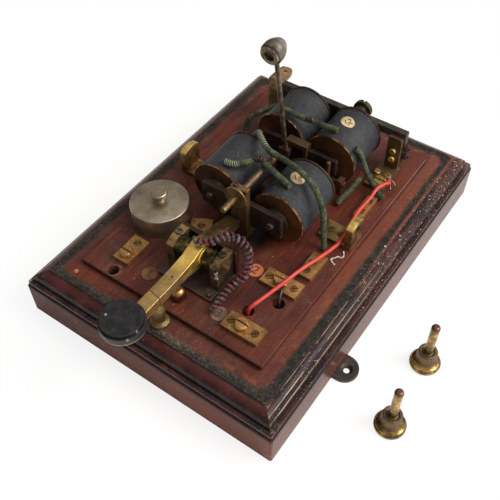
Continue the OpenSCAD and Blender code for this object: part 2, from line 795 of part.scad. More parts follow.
// Left bracket: a strip that stands on the panel and turns back at the top to a pointed tongue
module rear_bracket_left() {
    x0 = rail_x0 - left_bracket_w;
    y0 = rear_yoke_back - left_bracket_t;
    nip = 3;
    color("#8a6c3a") difference() {
        union() {
            block(x0, rail_x0, y0, rear_yoke_back, deck, rail_top);
            translate([0, 0, rail_top - tongue_t]) linear_extrude(height = tongue_t) polygon([
                [x0, rear_yoke_back - 0.01], [rail_x0, rear_yoke_back - 0.01],
                [rail_x0, rear_yoke_back + tongue_l - 2 * nip], [rail_x0 - nip, rear_yoke_back + tongue_l],
                [x0 + nip, rear_yoke_back + tongue_l], [x0, rear_yoke_back + tongue_l - nip]]);
        }
        translate([x0 + left_bracket_w / 2, rear_yoke_back + tongue_l - 6, rail_top - tongue_t - over])
            cylinder(r = 1.5, h = tongue_t + 2 * over);
        for (z = [deck + 12, deck + 19, deck + 28]) translate([x0 + 3.6, 0, z])
            rod_along_y(1, y0 - over, rear_yoke_back + over);
    }
}

module rear_bracket_right() {
    y1 = rear_yoke_y;
    color("#a5803f") difference() {
        union() {
            block(right_foot_x0, right_foot_x0 + right_foot_w, y1 - right_foot_l, y1, deck, plate_top);
            block(right_bracket_x, right_bracket_x + right_bracket_w, y1 - right_bracket_t, y1,
                plate_top - 0.01, right_bracket_top);
        }
        for (z = bracket_screw_zs) translate([bracket_screw_x, 0, z])
            rod_along_y(small_shank_r + fit, y1 - right_bracket_t - over, y1 + over);
        drilled(concat(right_foot_screws, [big_screw_at]), small_shank_r, plate_top, plate_t + over);
    }
}

module rear_bracket_screws() {
    color("#c9a14e") {
        for (z = bracket_screw_zs)
            translate([bracket_screw_x, rear_yoke_y - right_bracket_t, z])
            rotate([90, 0, 0]) small_screw(right_bracket_t + 4);
        for (p = right_foot_screws) translate([p[0], p[1], plate_top]) small_screw();
        translate([big_screw_at[0], big_screw_at[1], plate_top])
            slotted_screw(big_head_r, clamp_h, small_shank_r, small_shank_l);
    }
}

// Adjuster: bracket in front of the yoke, milled screw, and the tube for the spring
module adjuster_bracket() {
    foot_back = front_coil_y - near;
    side = adjust_x - adjust_w / 2;
    color("#a8894a") difference() {
        union() {
            block(side, side + adjust_w, adjust_front, yoke_front, deck, adjust_top);
            block(side, side + adjust_w, adjust_front, foot_back, deck, deck + coil_lift);
        }
        translate([adjust_x, 0, adjust_z])
            rod_along_y(adjust_screw_r + fit, adjust_front - over, yoke_front + over);
        translate([adjust_x - 3, adjust_front + adjust_t / 2, adjust_top - 3])
            cylinder(r = lock_shank_r + fit, h = 3 + over);
    }
}

module adjuster_lock_screw() {
    color("#a8756a") translate([adjust_x - 3, adjust_front + adjust_t / 2, adjust_top])
        slotted_screw(lock_head_r, 1.8, lock_shank_r, 2.6);
}

module adjusting_screw() {
    disc_front = adjust_front - adjust_disc_gap - adjust_disc_t;
    color("#8f7344") translate([adjust_x, 0, adjust_z]) {
        rod_along_y(adjust_disc_r, disc_front, disc_front + adjust_disc_t);
        rod_along_y(adjust_screw_r, disc_front - adjust_stub, yoke_front - near);
        rod_along_y(adjust_tip_r, yoke_front - over, yoke_front + spring_tube_l - 2);
    }
}

module spring_tube() {
    color("#8a7446") translate([adjust_x, 0, adjust_z]) difference() {
        rod_along_y(spring_tube_r, yoke_front, yoke_front + spring_tube_l);
        rod_along_y(spring_bore_r, yoke_front - over, yoke_front + spring_tube_l + over);
    }
}

// Armature: posts and spindle stay, the rest swings
module armature_posts() {
    color("#8a6c3a") for (s = [-1, 1]) difference() {
        block(bar_x + s * post_x - post_wide / 2, bar_x + s * post_x + post_wide / 2,
            pivot_y - 3.2, pivot_y + 3.2, deck, pivot_z + 4);
        translate([0, pivot_y, pivot_z]) rod_along_x(spindle_r + fit,
            bar_x + s * post_x - post_wide, bar_x + s * post_x + post_wide);
    }
}

module armature_spindle() {
    head = 1.6;
    end = post_x + post_wide / 2;
    color("#9c6f5a") translate([bar_x, pivot_y, pivot_z]) {
        rod_along_x(spindle_r, -end - 1, end + head);
        for (s = [-1, 1]) translate([s * (end + head / 2), 0, 0])
            rod_along_x(spindle_r + 1, -head / 2, head / 2);
    }
}

module armature_stop() {
    color("#b07a62") translate([stop_pin_x, bar_front - near - stop_pin_r, 0]) {
        translate([0, 0, deck]) cylinder(r = stop_pin_r, h = stop_pin_top - deck);
        translate([0, 0, stop_pin_top]) sphere(r = stop_pin_r);
        translate([0, 0, deck]) cylinder(r = stop_pin_r * 1.8, h = 2);
    }
}

module armature_bar() {
    color("#3c3836") block(bar_x - bar_l / 2, bar_x + bar_l / 2, bar_front, bar_back,
        bar_z - bar_h / 2, bar_z + bar_h / 2);
}

// Two ears on the spindle, joined over the bar by a top plate
module armature_carrier() {
    bar_top = bar_z + bar_h / 2;
    bar_low = bar_z - bar_h / 2;
    ear_xs = [[carrier_x0, carrier_x0 + carrier_ear], [carrier_x1 - carrier_ear, carrier_x1]];
    color("#a07f45") difference() {
        union() {
            block(carrier_x0, carrier_x1, carrier_front, bar_back + 0.5, bar_top, carrier_top);
            for (e = ear_xs) {
                block(e[0], e[1], carrier_front, bar_front, pivot_z, carrier_top);
                block(e[0], e[1], carrier_front, pivot_y, pivot_z, bar_low);
                translate([0, pivot_y, pivot_z]) rod_along_x(carrier_lug_r, e[0], e[1]);
            }
        }
        translate([0, pivot_y, pivot_z]) rod_along_x(spindle_r + fit, carrier_x0 - over, carrier_x1 + over);
    }
}

module along_rod() {
    translate([rod_x, rod_foot_y, rod_foot_z]) rotate([rod_lean, 0, 0]) children();
}

module rod_clamp() {
    half = rod_r + 1.7;
    color("#a56a48") difference() {
        union() {
            block(rod_x - half, rod_x + half, carrier_front - clamp_thick, carrier_front,
                clamp_low, clamp_low + clamp_tall);
            translate([0, rod_foot_y, clamp_low + clamp_tall / 2])
                rod_along_x(1.4, rod_x - half - 2.6, rod_x - half + 0.5);
        }
        along_rod() cylinder(r = rod_r + fit, h = clamp_tall + 10);
    }
}

module hammer_rod() {
    color("#6b5b50") along_rod() cylinder(r = rod_r, h = rod_reach);
}

// Head: a hollow face to the front and a tapered nose to the rear
module hammer_head() {
    rim = hammer_r - 1.2;
    mouth = 3.6;
    color("#6f6e62") difference() {
        along_rod() translate([0, -hammer_l / 2, rod_reach]) rotate([-90, 0, 0]) difference() {
            rotate_extrude() polygon([[0, 0], [rim, 0], [hammer_r, 2.2], [hammer_r, 6],
                [hammer_r - 0.6, 8.5], [hammer_r - 2, 11.4], [hammer_r - 3.2, hammer_l - 0.8],
                [hammer_r - 4, hammer_l], [0, hammer_l]]);
            translate([0, 0, -over]) cylinder(r = mouth, h = 3 + over);
        }
        along_rod() cylinder(r = rod_r + fit, h = rod_reach + fit);
    }
}

// Key
module key_plate() {
    color("#2d2724") block(key_plate_x0, key_plate_x1, key_plate_y0, key_plate_y1, deck, deck + key_plate_t);
}

// An ear of the key's bracket: its top falls away to the front
module key_ear_block(x0) {
    difference() {
        translate([x0, 0, 0]) rotate([90, 0, 90]) linear_extrude(height = key_ear) polygon([
            [ear_y0, deck + key_plate_t], [wall_y0, deck + key_plate_t], [wall_y0, ear_top],
            [ear_y0 + ear_slope, ear_top], [ear_y0, ear_top - ear_front_drop]]);
        translate([0, key_y, key_z]) rod_along_x(axle_r + fit, x0 - over, x0 + key_ear + over);
        drilled(ear_screw_places, small_shank_r, ear_top, 2.6);
    }
}

module key_bracket_left() {
    color("#97793f") key_ear_block(ear_left_x);
}

module key_bracket_right() {
    color("#97793f") key_ear_block(ear_right_x);
}

// Wall that joins the two ears behind the lever
module key_bracket_wall() {
    free = lever_half + 1.5;
    color("#4a3226") difference() {
        block(ear_left_x, ear_right_x + key_ear + 2, wall_y0, wall_y1, deck + key_plate_t, wall_top);
        translate([key_x - free, wall_y0 - over, key_z - wall_notch])
            cube([2 * free, wall_y1 - wall_y0 + 2 * over, wall_notch + ear_top - key_z]);
    }
}

module key_screws() {
    color("#8b8178") {
        for (p = ear_screw_places) translate([p[0], p[1], ear_top]) small_screw(2.4);
        translate([ball_screw_at[0], ball_screw_at[1], deck + key_plate_t]) {
            cylinder(r = ball_screw_r, h = 1);
            translate([0, 0, ball_screw_r]) sphere(r = ball_screw_r);
        }
    }
}

module key_contact_stud() {
    color("#7a4c2c") translate([key_x + 0.5, stud_y, deck]) rotate_extrude()
        polygon([[0, 0], [5, 0], [5, 4], [4.4, 6.6], [3, 8.4], [1.4, stud_h], [0, stud_h]]);
}

module key_front_stop() {
    top = lever_under - key_play;
    tall = top - board_z;
    color("#9a8046") translate([stop_x, stop_y, board_z]) rotate_extrude()
        polygon([[0, 0], [6.4, 0], [6.4, 2.2], [4, 4], [4, 8], [4.5, 9.5], [4.5, 14.5], [3.4, 16.4],
            [2, tall], [0, tall]]);
}

// Lever seen from the side: flat in front, humped over the axle, falling to the rear
module lever_side() {
    polygon([
        [knob_y - 8, lever_under], [stud_y + 6, lever_under], [key_y - 9, key_z - 5.6],
        [key_y + 9, key_z - 5.6], [key_y + 16, key_z - 4.6], [key_y + 37, key_z - 7],
        [key_y + 38.4, key_z - 1.8], [key_y + 37, key_z - 0.4], [key_y + 24, key_z + 3.8],
        [key_y + 12, key_z + 6.8], [key_y + 4, key_z + 9.2], [key_y - 1.4, key_z + 9.6],
        [key_y - 6, key_z + 8.4], [key_y - 11, key_z + 6.2], [key_y - 21, key_z + 5.2],
        [key_y - 31, lever_top], [knob_y - 8, lever_top]
    ]);
}

module key_lever() {
    pin_r = 1.7;
    color("#b39552") difference() {
        union() {
            translate([key_x - lever_half, 0, 0]) rotate([90, 0, 90])
                linear_extrude(height = lever_w) lever_side();
            translate([0, key_y, key_z]) rod_along_x(hub_r, hub_x0, hub_x1);
            translate([key_x + 0.5, stud_y, deck + stud_h + contact_gap])
                cylinder(r = pin_r, h = lever_under - deck - stud_h - contact_gap + 1);
        }
        translate([0, key_y, key_z]) rod_along_x(axle_r + fit, hub_x0 - over, hub_x1 + over);
    }
}

module key_axle() {
    color("#a87a66") translate([0, key_y, key_z]) {
        rod_along_x(axle_r, ear_left_x - 1, ear_right_x + key_ear + 4);
    }
}

module key_knob() {
    color("#26272b") translate([key_x, knob_y, lever_top]) rotate_extrude() polygon([
        [0, 0], [knob_r + 0.5, 0], [knob_r + 0.5, skirt_t], [knob_r - 0.6, skirt_t + 0.8],
        [knob_r, skirt_t + 3], [knob_r, knob_h - 0.6], [knob_r - 1, knob_h + 1],
        [knob_r - 3, knob_h + skirt_t], [0, knob_h + skirt_t]]);
}

module pigtail() {
    color("#8d7f80") swept_tube(pigtail_points, pigtail_wire / 2, curl_sides);
}

// Protector
module protector_base() {
    color("#8a7446") translate([cap_x, cap_y, deck]) cylinder(r = protector_r, h = cap_room - near);
}

module protector_cap() {
    side = cap_h - 1;
    knob_base = cap_h + cap_neck_h;
    knob_end = knob_base + cap_knob_h;
    knob_side = cap_knob_d / 2;
    color("#9c958a") translate([cap_x, cap_y, deck]) difference() {
        rotate_extrude() polygon([
            [0, 0], [cap_r, 0], [cap_r, side], [cap_r - 0.5, cap_h], [cap_r * 0.6, cap_h + cap_dome * 0.8],
            [cap_neck_r, cap_h + cap_dome], [cap_neck_r, knob_base], [knob_side, knob_base + 2.4],
            [knob_side, knob_end - 0.8], [knob_side - 0.8, knob_end], [0, knob_end]]);
        translate([0, 0, -over]) cylinder(r = cap_r - cap_wall, h = cap_room + over);
    }
}

// Terminals
module plate_at(corner, size) {
    block(corner[0], corner[0] + size[0], corner[1], corner[1] + size[1], deck, plate_top);
}

module terminal_plates() {
    color("#9c7d45") difference() {
        union() {
            plate_at(z_plate, [plate_l, plate_w]);
            plate_at(l_plate, [plate_l, plate_w]);
            plate_at(e_plate, [plate_w, e_plate_l]);
            plate_at(strip_a, strip_a_size);
            plate_at(strip_b, strip_b_size);
        }
        flush_drilling(small_places);
        drilled(clamp_places, clamp_shank_r, plate_top, plate_t + over);
    }
}

module terminal_clamp_screws() {
    color("#a8864a") for (p = clamp_places) translate([p[0], p[1], plate_top]) clamp_screw();
}

module terminal_small_screws() {
    color("#a8864a") for (p = concat(small_places, [back_contact_at]))
        translate([p[0], p[1], plate_top]) flush_screw(45);
}

module number_discs() {
    color("#b0623c") for (p = disc_places) translate([p[0], p[1], deck]) cylinder(r = disc_d / 2, h = disc_h);
}

module back_contact() {
    color("#9c7d45") difference() {
        translate([back_contact_at[0], back_contact_at[1], deck]) rotate([0, 0, back_contact_turn])
            translate([-back_contact_size[0] / 2, -back_contact_size[1] / 2, 0])
            cube([back_contact_size[0], back_contact_size[1], plate_t]);
        flush_drilling([back_contact_at]);
    }
}

// Leads and wires
module coil_leads() {
    color("#5d7563") for (route = lead_routes) cord(route, lead_d, lead_step);
}

module red_wire() {
    color("#d8433c") cord(red_route, red_d, wire_step);
}

module black_wire() {
    color("#2a2a2c") cord(black_route, black_d, wire_step / 2);
}

// Cover screws, standing on their heads beside the base
module cover_screw(place) {
    head = thumb_d / 2;
    pin = thumb_pin_d / 2;
    shoulder = thumb_h + collar_h;
    tip = shoulder + thumb_pin_l;
    color("#a5803f") translate([place[0], place[1], 0]) rotate_extrude() polygon([
        [0, 0], [head - 0.8, 0], [head, 0.8], [head, 3.4], [head - 1.6, 5.2], [head - 3, thumb_h],
        [pin + 3.4, thumb_h], [pin + 3.4, shoulder], [pin, shoulder + 0.6],
        [pin, tip - 1.4], [pin - 1.2, tip], [0, tip]]);
}

module cover_screw_a() { cover_screw(cover_screw_places[0]); }
module cover_screw_b() { cover_screw(cover_screw_places[1]); }

plinth();
base_board();
panel();
fixing_lugs();
cover_post_left();
cover_post_right();
cover_post_screws();
front_yoke();
front_cores();
bobbin_front_left();
bobbin_front_right();
winding_front_left();
winding_front_right();
rear_yoke();
rear_cores();
bobbin_rear_left();
bobbin_rear_right();
winding_rear_left();
winding_rear_right();
yoke_screws();
rear_rail();
rear_bracket_left();
rear_bracket_right();
rear_bracket_screws();
rear_disc();
adjuster_bracket();
adjuster_lock_screw();
spring_tube();
adjusting_screw();
armature_posts();
armature_spindle();
armature_stop();
armature_bar();
armature_carrier();
rod_clamp();
hammer_rod();
hammer_head();
key_plate();
key_bracket_left();
key_bracket_right();
key_bracket_wall();
key_screws();
key_contact_stud();
key_front_stop();
key_lever();
key_knob();
key_axle();
pigtail();
protector_base();
protector_cap();
terminal_plates();
terminal_clamp_screws();
terminal_small_screws();
number_discs();
back_contact();
coil_leads();
red_wire();
black_wire();
cover_screw_a();
cover_screw_b();
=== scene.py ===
# Railway block bell: the looks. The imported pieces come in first, and each section below
# dresses one piece or group of like pieces, from the wooden base to the loose thumb screws.
import json
import math

import bpy
from mathutils import Matrix, Vector


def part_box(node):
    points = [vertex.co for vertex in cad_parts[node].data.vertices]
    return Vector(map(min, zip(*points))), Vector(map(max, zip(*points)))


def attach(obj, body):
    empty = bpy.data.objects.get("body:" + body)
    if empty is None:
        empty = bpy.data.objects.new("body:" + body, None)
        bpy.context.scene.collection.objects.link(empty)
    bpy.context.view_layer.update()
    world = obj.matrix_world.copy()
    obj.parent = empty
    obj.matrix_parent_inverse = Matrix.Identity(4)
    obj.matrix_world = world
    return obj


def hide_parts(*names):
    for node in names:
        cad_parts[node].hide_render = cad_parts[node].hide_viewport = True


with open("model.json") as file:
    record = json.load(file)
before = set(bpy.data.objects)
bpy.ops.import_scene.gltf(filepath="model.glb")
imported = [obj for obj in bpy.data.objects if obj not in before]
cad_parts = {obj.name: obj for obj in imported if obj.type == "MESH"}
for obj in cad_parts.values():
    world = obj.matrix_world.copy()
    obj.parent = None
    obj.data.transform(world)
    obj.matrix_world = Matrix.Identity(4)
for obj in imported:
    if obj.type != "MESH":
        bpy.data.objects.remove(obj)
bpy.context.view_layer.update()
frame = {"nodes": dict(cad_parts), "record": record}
scene = bpy.context.scene
scene.view_settings.view_transform = "Standard"

# Camera: a hand-held shot from the front right, looking down on the base at about fifty
# degrees. Its place, turn and lens were worked out from the base's corners and the coils.
CAMERA_TURN, CAMERA_DROP, CAMERA_TILT = (math.radians(a) for a in (35.7804, 50.0683, -0.8678))
CAMERA_PLACE = (0.196783, -0.291060, 0.414885)
ahead = Vector((-math.sin(CAMERA_TURN) * math.cos(CAMERA_DROP),
                math.cos(CAMERA_TURN) * math.cos(CAMERA_DROP), -math.sin(CAMERA_DROP)))
level = Vector((math.cos(CAMERA_TURN), math.sin(CAMERA_TURN), 0))
upright = level.cross(ahead)
across = level * math.cos(CAMERA_TILT) + upright * math.sin(CAMERA_TILT)
upward = upright * math.cos(CAMERA_TILT) - level * math.sin(CAMERA_TILT)
bpy.ops.object.camera_add()
camera = bpy.context.object
camera.name = "photo_camera"
camera.matrix_world = Matrix((
    (across.x, upward.x, -ahead.x, CAMERA_PLACE[0]),
    (across.y, upward.y, -ahead.y, CAMERA_PLACE[1]),
    (across.z, upward.z, -ahead.z, CAMERA_PLACE[2]),
    (0, 0, 0, 1)))
camera.data.sensor_width = 36
camera.data.lens = 51.909
camera.data.clip_start = 0.01
camera.data.clip_end = 20
scene.camera = camera


# Table and light: a white sheet under the object, a soft window on its right, and a dimmer
# room behind it, which is what the polished tops mirror. Every finish is built with Link.
class Link:
    """A socket in a material. Sums and products of links add Math nodes, node() adds any other."""

    def __init__(self, tree, socket):
        self.tree = tree
        self.socket = socket

    def node(self, kind, settings=None, values=None, out=0):
        """Adds a node: its settings first, then the values or links of its inputs."""
        made = self.tree.nodes.new("ShaderNode" + kind)
        for key, value in (settings or {}).items():
            if key == "stops":
                stops = made.color_ramp.elements
                stops[1].position = value[-1][0]
                stops[0].position = value[0][0]
                for place, _ in value[1:-1]:
                    stops.new(place)
                for stop, (_, colour) in zip(stops, value):
                    stop.color = (*colour, 1)
            else:
                setattr(made, key, value)
        for key, value in (values or {}).items():
            if isinstance(value, Link):
                self.tree.links.new(value.socket, made.inputs[key])
            else:
                made.inputs[key].default_value = value
        return Link(self.tree, made.outputs[out])

    def sum(self, operation, first, second=0.0):
        return self.node("Math", {"operation": operation}, {0: first, 1: second})

    def __add__(self, other):
        return self.sum("ADD", self, other)

    def __radd__(self, other):
        return self.sum("ADD", other, self)

    def __sub__(self, other):
        return self.sum("SUBTRACT", self, other)

    def __rsub__(self, other):
        return self.sum("SUBTRACT", other, self)

    def __mul__(self, other):
        return self.sum("MULTIPLY", self, other)

    def __rmul__(self, other):
        return self.sum("MULTIPLY", other, self)

    def power(self, other):
        return self.sum("POWER", self, other)

    def least(self, other):
        return self.sum("MINIMUM", self, other)

    def most(self, other):
        return self.sum("MAXIMUM", self, other)

    def size(self):
        return self.sum("ABSOLUTE", self)

    def span(self, other):
        """The long side of the right triangle that two lengths make."""
        return (self.power(2) + other.power(2)).power(0.5)

    def far_from(self, point):
        return self.node("VectorMath", {"operation": "DISTANCE"}, {0: self, 1: point}, out=1)

    def part(self, axis):
        return self.node("SeparateXYZ", None, {0: self}, out="XYZ".index(axis))

    def stretched(self, x, y, z):
        return self.node("Mapping", None, {"Vector": self, "Scale": (x, y, z)})

    def noise(self, scale, detail=3.0, rough=0.55, warp=0.0):
        return self.node("TexNoise", None, {
            "Vector": self, "Scale": scale, "Detail": detail, "Roughness": rough, "Distortion": warp})

    def spots(self, scale):
        return self.node("TexVoronoi", None, {"Vector": self, "Scale": scale})

    def mask(self, low, high):
        """0 where this is below low, 1 where it is above high."""
        return self.node("MapRange", None, {"Value": self, "From Min": low, "From Max": high})

    def mix(self, first, second):
        """The first colour where this is 0, the second where it is 1."""
        first, second = ((*c, 1) if isinstance(c, tuple) else c for c in (first, second))
        return self.node("Mix", {"data_type": "RGBA"}, {0: self, 6: first, 7: second}, out=2)

    def ramp(self, *stops):
        return self.node("ValToRGB", {"stops": stops}, {0: self})

    def bump(self, strength, distance):
        return self.node("Bump", None, {"Height": self, "Strength": strength, "Distance": distance})


def new_finish(name):
    """A new material, with a link to the piece's own coordinates in metres."""
    material = bpy.data.materials.new(name)
    material.use_nodes = True
    tree = material.node_tree
    return material, Link(tree, tree.nodes.new("ShaderNodeTexCoord").outputs["Object"])


def lay_on(material, **values):
    """Sets or links the shader's own sockets, whose names are given with _ for a space."""
    shader = material.node_tree.nodes["Principled BSDF"]
    for key, value in values.items():
        socket = shader.inputs[key.replace("_", " ")]
        if isinstance(value, Link):
            material.node_tree.links.new(value.socket, socket)
        elif isinstance(value, tuple):
            socket.default_value = (*value, 1)
        else:
            socket.default_value = value
    return material


def white_sheet():
    """White paper that takes the shadow, and is plain white to the camera away from the base."""
    material, place = new_finish("white_sheet")
    tree = material.node_tree
    paper = place.node("BsdfDiffuse", None, {"Color": (0.93, 0.92, 0.905, 1)})
    bare = place.node("Emission", None, {"Color": (1, 1, 1, 1), "Strength": 1.0})
    far_out = place.far_from((0, 0, 0)).mask(0.14, 0.32) * 0.20 + 0.80
    seen = place.node("LightPath", out=0) * far_out
    both = place.node("MixShader", None, {0: seen, 1: paper, 2: bare})
    tree.links.new(both.socket, tree.nodes["Material Output"].inputs["Surface"])
    return material


bpy.ops.object.select_all(action="DESELECT")
bpy.ops.mesh.primitive_plane_add(size=8, location=(0, 0, -0.0002))
sheet = bpy.context.object
sheet.name = "table_sheet"
sheet.data.materials.append(white_sheet())


def soft_room():
    """A pale window in dim walls for the light, and plain white for the camera."""
    world = bpy.data.worlds.new("soft_room")
    scene.world = world
    world.use_nodes = True
    tree = world.node_tree
    tree.nodes.clear()
    way = Link(tree, tree.nodes.new("ShaderNodeTexCoord").outputs["Object"])
    to_window = (0.66, 0.20, 0.72)
    window = way.node("VectorMath", {"operation": "DOT_PRODUCT"}, {0: way, 1: to_window}, out=1)
    wall = (window * 0.5 + 0.5).ramp(
        (0.0, (0.20, 0.20, 0.21)), (0.60, (0.26, 0.255, 0.25)),
        (0.76, (0.50, 0.49, 0.47)), (0.95, (1.0, 0.98, 0.94)))
    room = way.node("Background", None, {"Color": wall, "Strength": 1.3})
    seen = way.node("Background", None, {"Color": (1, 1, 1, 1), "Strength": 1.0})
    both = way.node("MixShader", None, {0: way.node("LightPath", out=0), 1: room, 2: seen})
    end = tree.nodes.new("ShaderNodeOutputWorld")
    tree.links.new(both.socket, end.inputs["Surface"])


soft_room()
bpy.ops.object.light_add(type="AREA", location=(1.0, 0.35, 1.05))
lamp = bpy.context.object
lamp.name = "window_lamp"
lamp.data.size = 0.75
lamp.data.energy = 20
lamp.rotation_euler = (Vector((0, 0, 0.03)) - lamp.location).to_track_quat("-Z", "Y").to_euler()


# Base: a solid mahogany block with a thinner moulded board on it and a raised panel let in
# on top. Stained and varnished; the stain is worn to red wood and dust lies in the corners.
def bare_copy(node):
    """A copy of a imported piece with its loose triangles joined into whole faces."""
    packed = frame["nodes"][node]
    piece = bpy.data.objects.new(node + "_finished", packed.data.copy())
    scene.collection.objects.link(piece)
    bpy.ops.object.select_all(action="DESELECT")
    bpy.context.view_layer.objects.active = piece
    piece.select_set(True)
    if piece.data.has_custom_normals:
        bpy.ops.mesh.customdata_custom_splitnormals_clear()
    bpy.ops.object.mode_set(mode="EDIT")
    bpy.ops.mesh.select_all(action="SELECT")
    bpy.ops.mesh.remove_doubles(threshold=0.000005)
    bpy.ops.mesh.dissolve_limited(angle_limit=math.radians(1))
    bpy.ops.object.mode_set(mode="OBJECT")
    return piece


def round_edges(piece, width, segments=2, least=32):
    """Breaks the sharp edges of a piece, as a file or sandpaper does."""
    bevel = piece.modifiers.new("broken_edges", "BEVEL")
    bevel.width = width
    bevel.segments = segments
    bevel.limit_method = "ANGLE"
    bevel.angle_limit = math.radians(least)
    bevel.miter_outer = "MITER_ARC"
    bpy.ops.object.select_all(action="DESELECT")
    bpy.context.view_layer.objects.active = piece
    piece.select_set(True)
    bpy.ops.object.modifier_apply(modifier="broken_edges")
    bpy.ops.object.shade_smooth_by_angle(angle=math.radians(48))
    flat = piece.modifiers.new("flat_faces", "WEIGHTED_NORMAL")
    flat.keep_sharp = True
    flat.weight = 100
    bpy.ops.object.modifier_apply(modifier="flat_faces")
    return piece


def pick_outer_face(piece, axis):
    """Leaves only the piece's outermost face along an axis selected, in edit mode."""
    bpy.ops.object.mode_set(mode="EDIT")
    bpy.ops.mesh.select_mode(type="FACE")
    bpy.ops.mesh.select_all(action="DESELECT")
    bpy.ops.object.mode_set(mode="OBJECT")
    max(piece.data.polygons, key=lambda face: face.center[axis]).select = True
    bpy.ops.object.mode_set(mode="EDIT")


def blank(name, sides, radius, depth, place, turn=(0, 0, 0)):
    """A plain cylinder to model a piece from, with its place in its mesh."""
    bpy.ops.object.select_all(action="DESELECT")
    bpy.ops.mesh.primitive_cylinder_add(
        vertices=sides, radius=radius, depth=depth, location=place, rotation=turn)
    piece = bpy.context.object
    piece.name = name
    bpy.ops.object.transform_apply()
    return piece


def dress(piece, finish, body, slot, *nodes):
    """Gives a piece its finish, the body it rides on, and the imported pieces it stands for."""
    piece.data.materials.clear()
    piece.data.materials.append(finish)
    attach(piece, body)
    if nodes:
        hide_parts(*nodes)
    return piece


def body_of(node):
    """The body that the record puts a node on."""
    for body, nodes in frame["record"]["behaviour"]["bodies"].items():
        if node in nodes:
            return body


def remade(node, finish, slot, edge=0.0003, segments=2):
    """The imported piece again, with broken edges and its finish."""
    return dress(round_edges(bare_copy(node), edge, segments), finish, body_of(node), slot, node)


def wood_grain(name, along, dust):
    """Starts a wood's material, with its dirt and its grain; along stretches the grain."""
    material, place = new_finish(name)
    grain = place.stretched(*along).noise(420, 6, 0.65, 0.3)
    dirt = place.noise(55, 5, 0.7).mask(0.56, 0.74) * place.noise(900, 2).mask(0.36, 0.6) * dust
    return material, place, dirt, grain


def mahogany(place, along, grain, deep):
    """The colour of old varnished mahogany; a higher deep gives a darker, browner wood."""
    streak = place.stretched(*along).noise(95, 3, 0.5, 0.6)
    tone = grain * 0.36 + streak * 0.26 + place.noise(1000, 3, 0.7) * 0.36 + 0.01
    bright = tone.ramp(
        (0.36, (0.046, 0.011, 0.009)), (0.49, (0.098, 0.022, 0.013)), (0.62, (0.158, 0.042, 0.021)))
    brown = tone.ramp(
        (0.36, (0.016, 0.007, 0.007)), (0.5, (0.042, 0.015, 0.012)), (0.64, (0.082, 0.030, 0.020)))
    return (place.noise(26, 4, 0.62) * 0.9 + deep - 0.45).mask(0.30, 0.72).mix(bright, brown)


def specks(place, where):
    """Grains of pale dust, few and small, and stronger where the mask is high."""
    drift = place.noise(48, 4, 0.65)
    fine = 1 - place.stretched(1.3, 0.9, 1).noise(1150, 3, 0.6).mask(0.30, 0.335)
    fine = fine * drift.mask(0.44, 0.58)
    coarse = (1 - place.noise(620, 2, 0.6).mask(0.275, 0.30)) * drift.mask(0.50, 0.60)
    return (fine * 0.8).most(coarse) * where


def line_at(depth, at, wide):
    """A mask of a thin line where depth is at, wide metres to each side."""
    return 1 - (depth - at).size().mask(wide * 0.5, wide)


def finish_wood(material, place, colour, dirt, grain, gloss, varnish, dusty, shine):
    """Lays dirt and dust over a wood's colour and gives it its gloss and varnish."""
    colour = dirt.mix(colour, (0.085, 0.070, 0.055))
    grit = specks(place, dusty)
    colour = grit.mix(colour, (0.50, 0.44, 0.36))
    rough = grain * 0.16 + dirt * 0.4 + grit * 0.3 + gloss
    relief = (grain * 0.4 + place.noise(650, 3, 0.6) * 0.5 + grit * 0.8).bump(0.22, 0.0003)
    return lay_on(material, Base_Color=colour, Roughness=rough, Normal=relief, Specular_IOR_Level=shine,
                  Coat_Weight=varnish, Coat_Roughness=0.10)


def plinth_wood():
    """Satin brown with hardly a varnish left and a little scratched, with painted light on its lower part and
    its right side, and a painted dark reflection along its top edge.
    """
    material, place, dirt, grain = wood_grain("plinth_mahogany", (0.10, 0.10, 1.3), 0.3)
    z = place.part("Z")
    figure = place.stretched(0.12, 0.12, 1).noise(120, 4, 0.6)
    tone = grain * 0.45 + figure * 0.3 + place.noise(900, 3, 0.7) * 0.25
    colour = tone.ramp(
        (0.36, (0.030, 0.011, 0.010)), (0.5, (0.066, 0.024, 0.019)), (0.62, (0.122, 0.047, 0.033)))
    # Warm red patches on the lower part only: partly the wood's tone, partly a painted reflection of the white
    # sheet.
    warm = place.stretched(0.5, 0.5, 1.5).noise(40, 4, 0.6).mask(0.42, 0.62)
    warm = warm * (1 - z.mask(0.010, 0.021))
    colour = (warm * 0.6).mix(colour, (0.140, 0.042, 0.024))
    # Painted light: the plinth grows lighter towards the right and on its right face, where it mirrors the
    # white sheet.
    painted_light_right = place.part("X").mask(-0.08, 0.05) * (1 - place.part("Y").mask(-0.1380, -0.1370))
    colour = (painted_light_right * 0.42).mix(colour, (0.240, 0.082, 0.059))
    # Painted shade: a dark band along the plinth's top edge, a dark reflection painted into the colour.
    top = z.mask(0.0225, 0.0262) * (place.noise(90, 4) * 0.6 + 0.5)
    colour = top.mix(colour, (0.012, 0.008, 0.009))
    scratch = place.stretched(0.2, 0.2, 1.2).noise(520, 3).mask(0.69, 0.72)
    scratch = scratch * place.noise(40, 2).mask(0.55, 0.6)
    colour = scratch.mix(colour, (0.38, 0.20, 0.08))
    return finish_wood(material, place, colour, dirt, grain, 0.17, 0.0, 0.15, 0.06)


# The board's half sizes, the middle and radius of its stained band's round corners, and how
# far in from the edge its moulding ends and the moulding's ridges lie.
BOARD_HALF_X, BOARD_HALF_Y, BOARD_TOP, PANEL_TOP = 0.099, 0.1375, 0.0395, 0.043
CORNER_X, CORNER_Y, CORNER_RADIUS = 0.075, 0.1135, 0.024
MOULDING_WIDTH, RIDGES, LIP_LINE = 0.0112, (0.0101, 0.0062, 0.0036), 0.0030


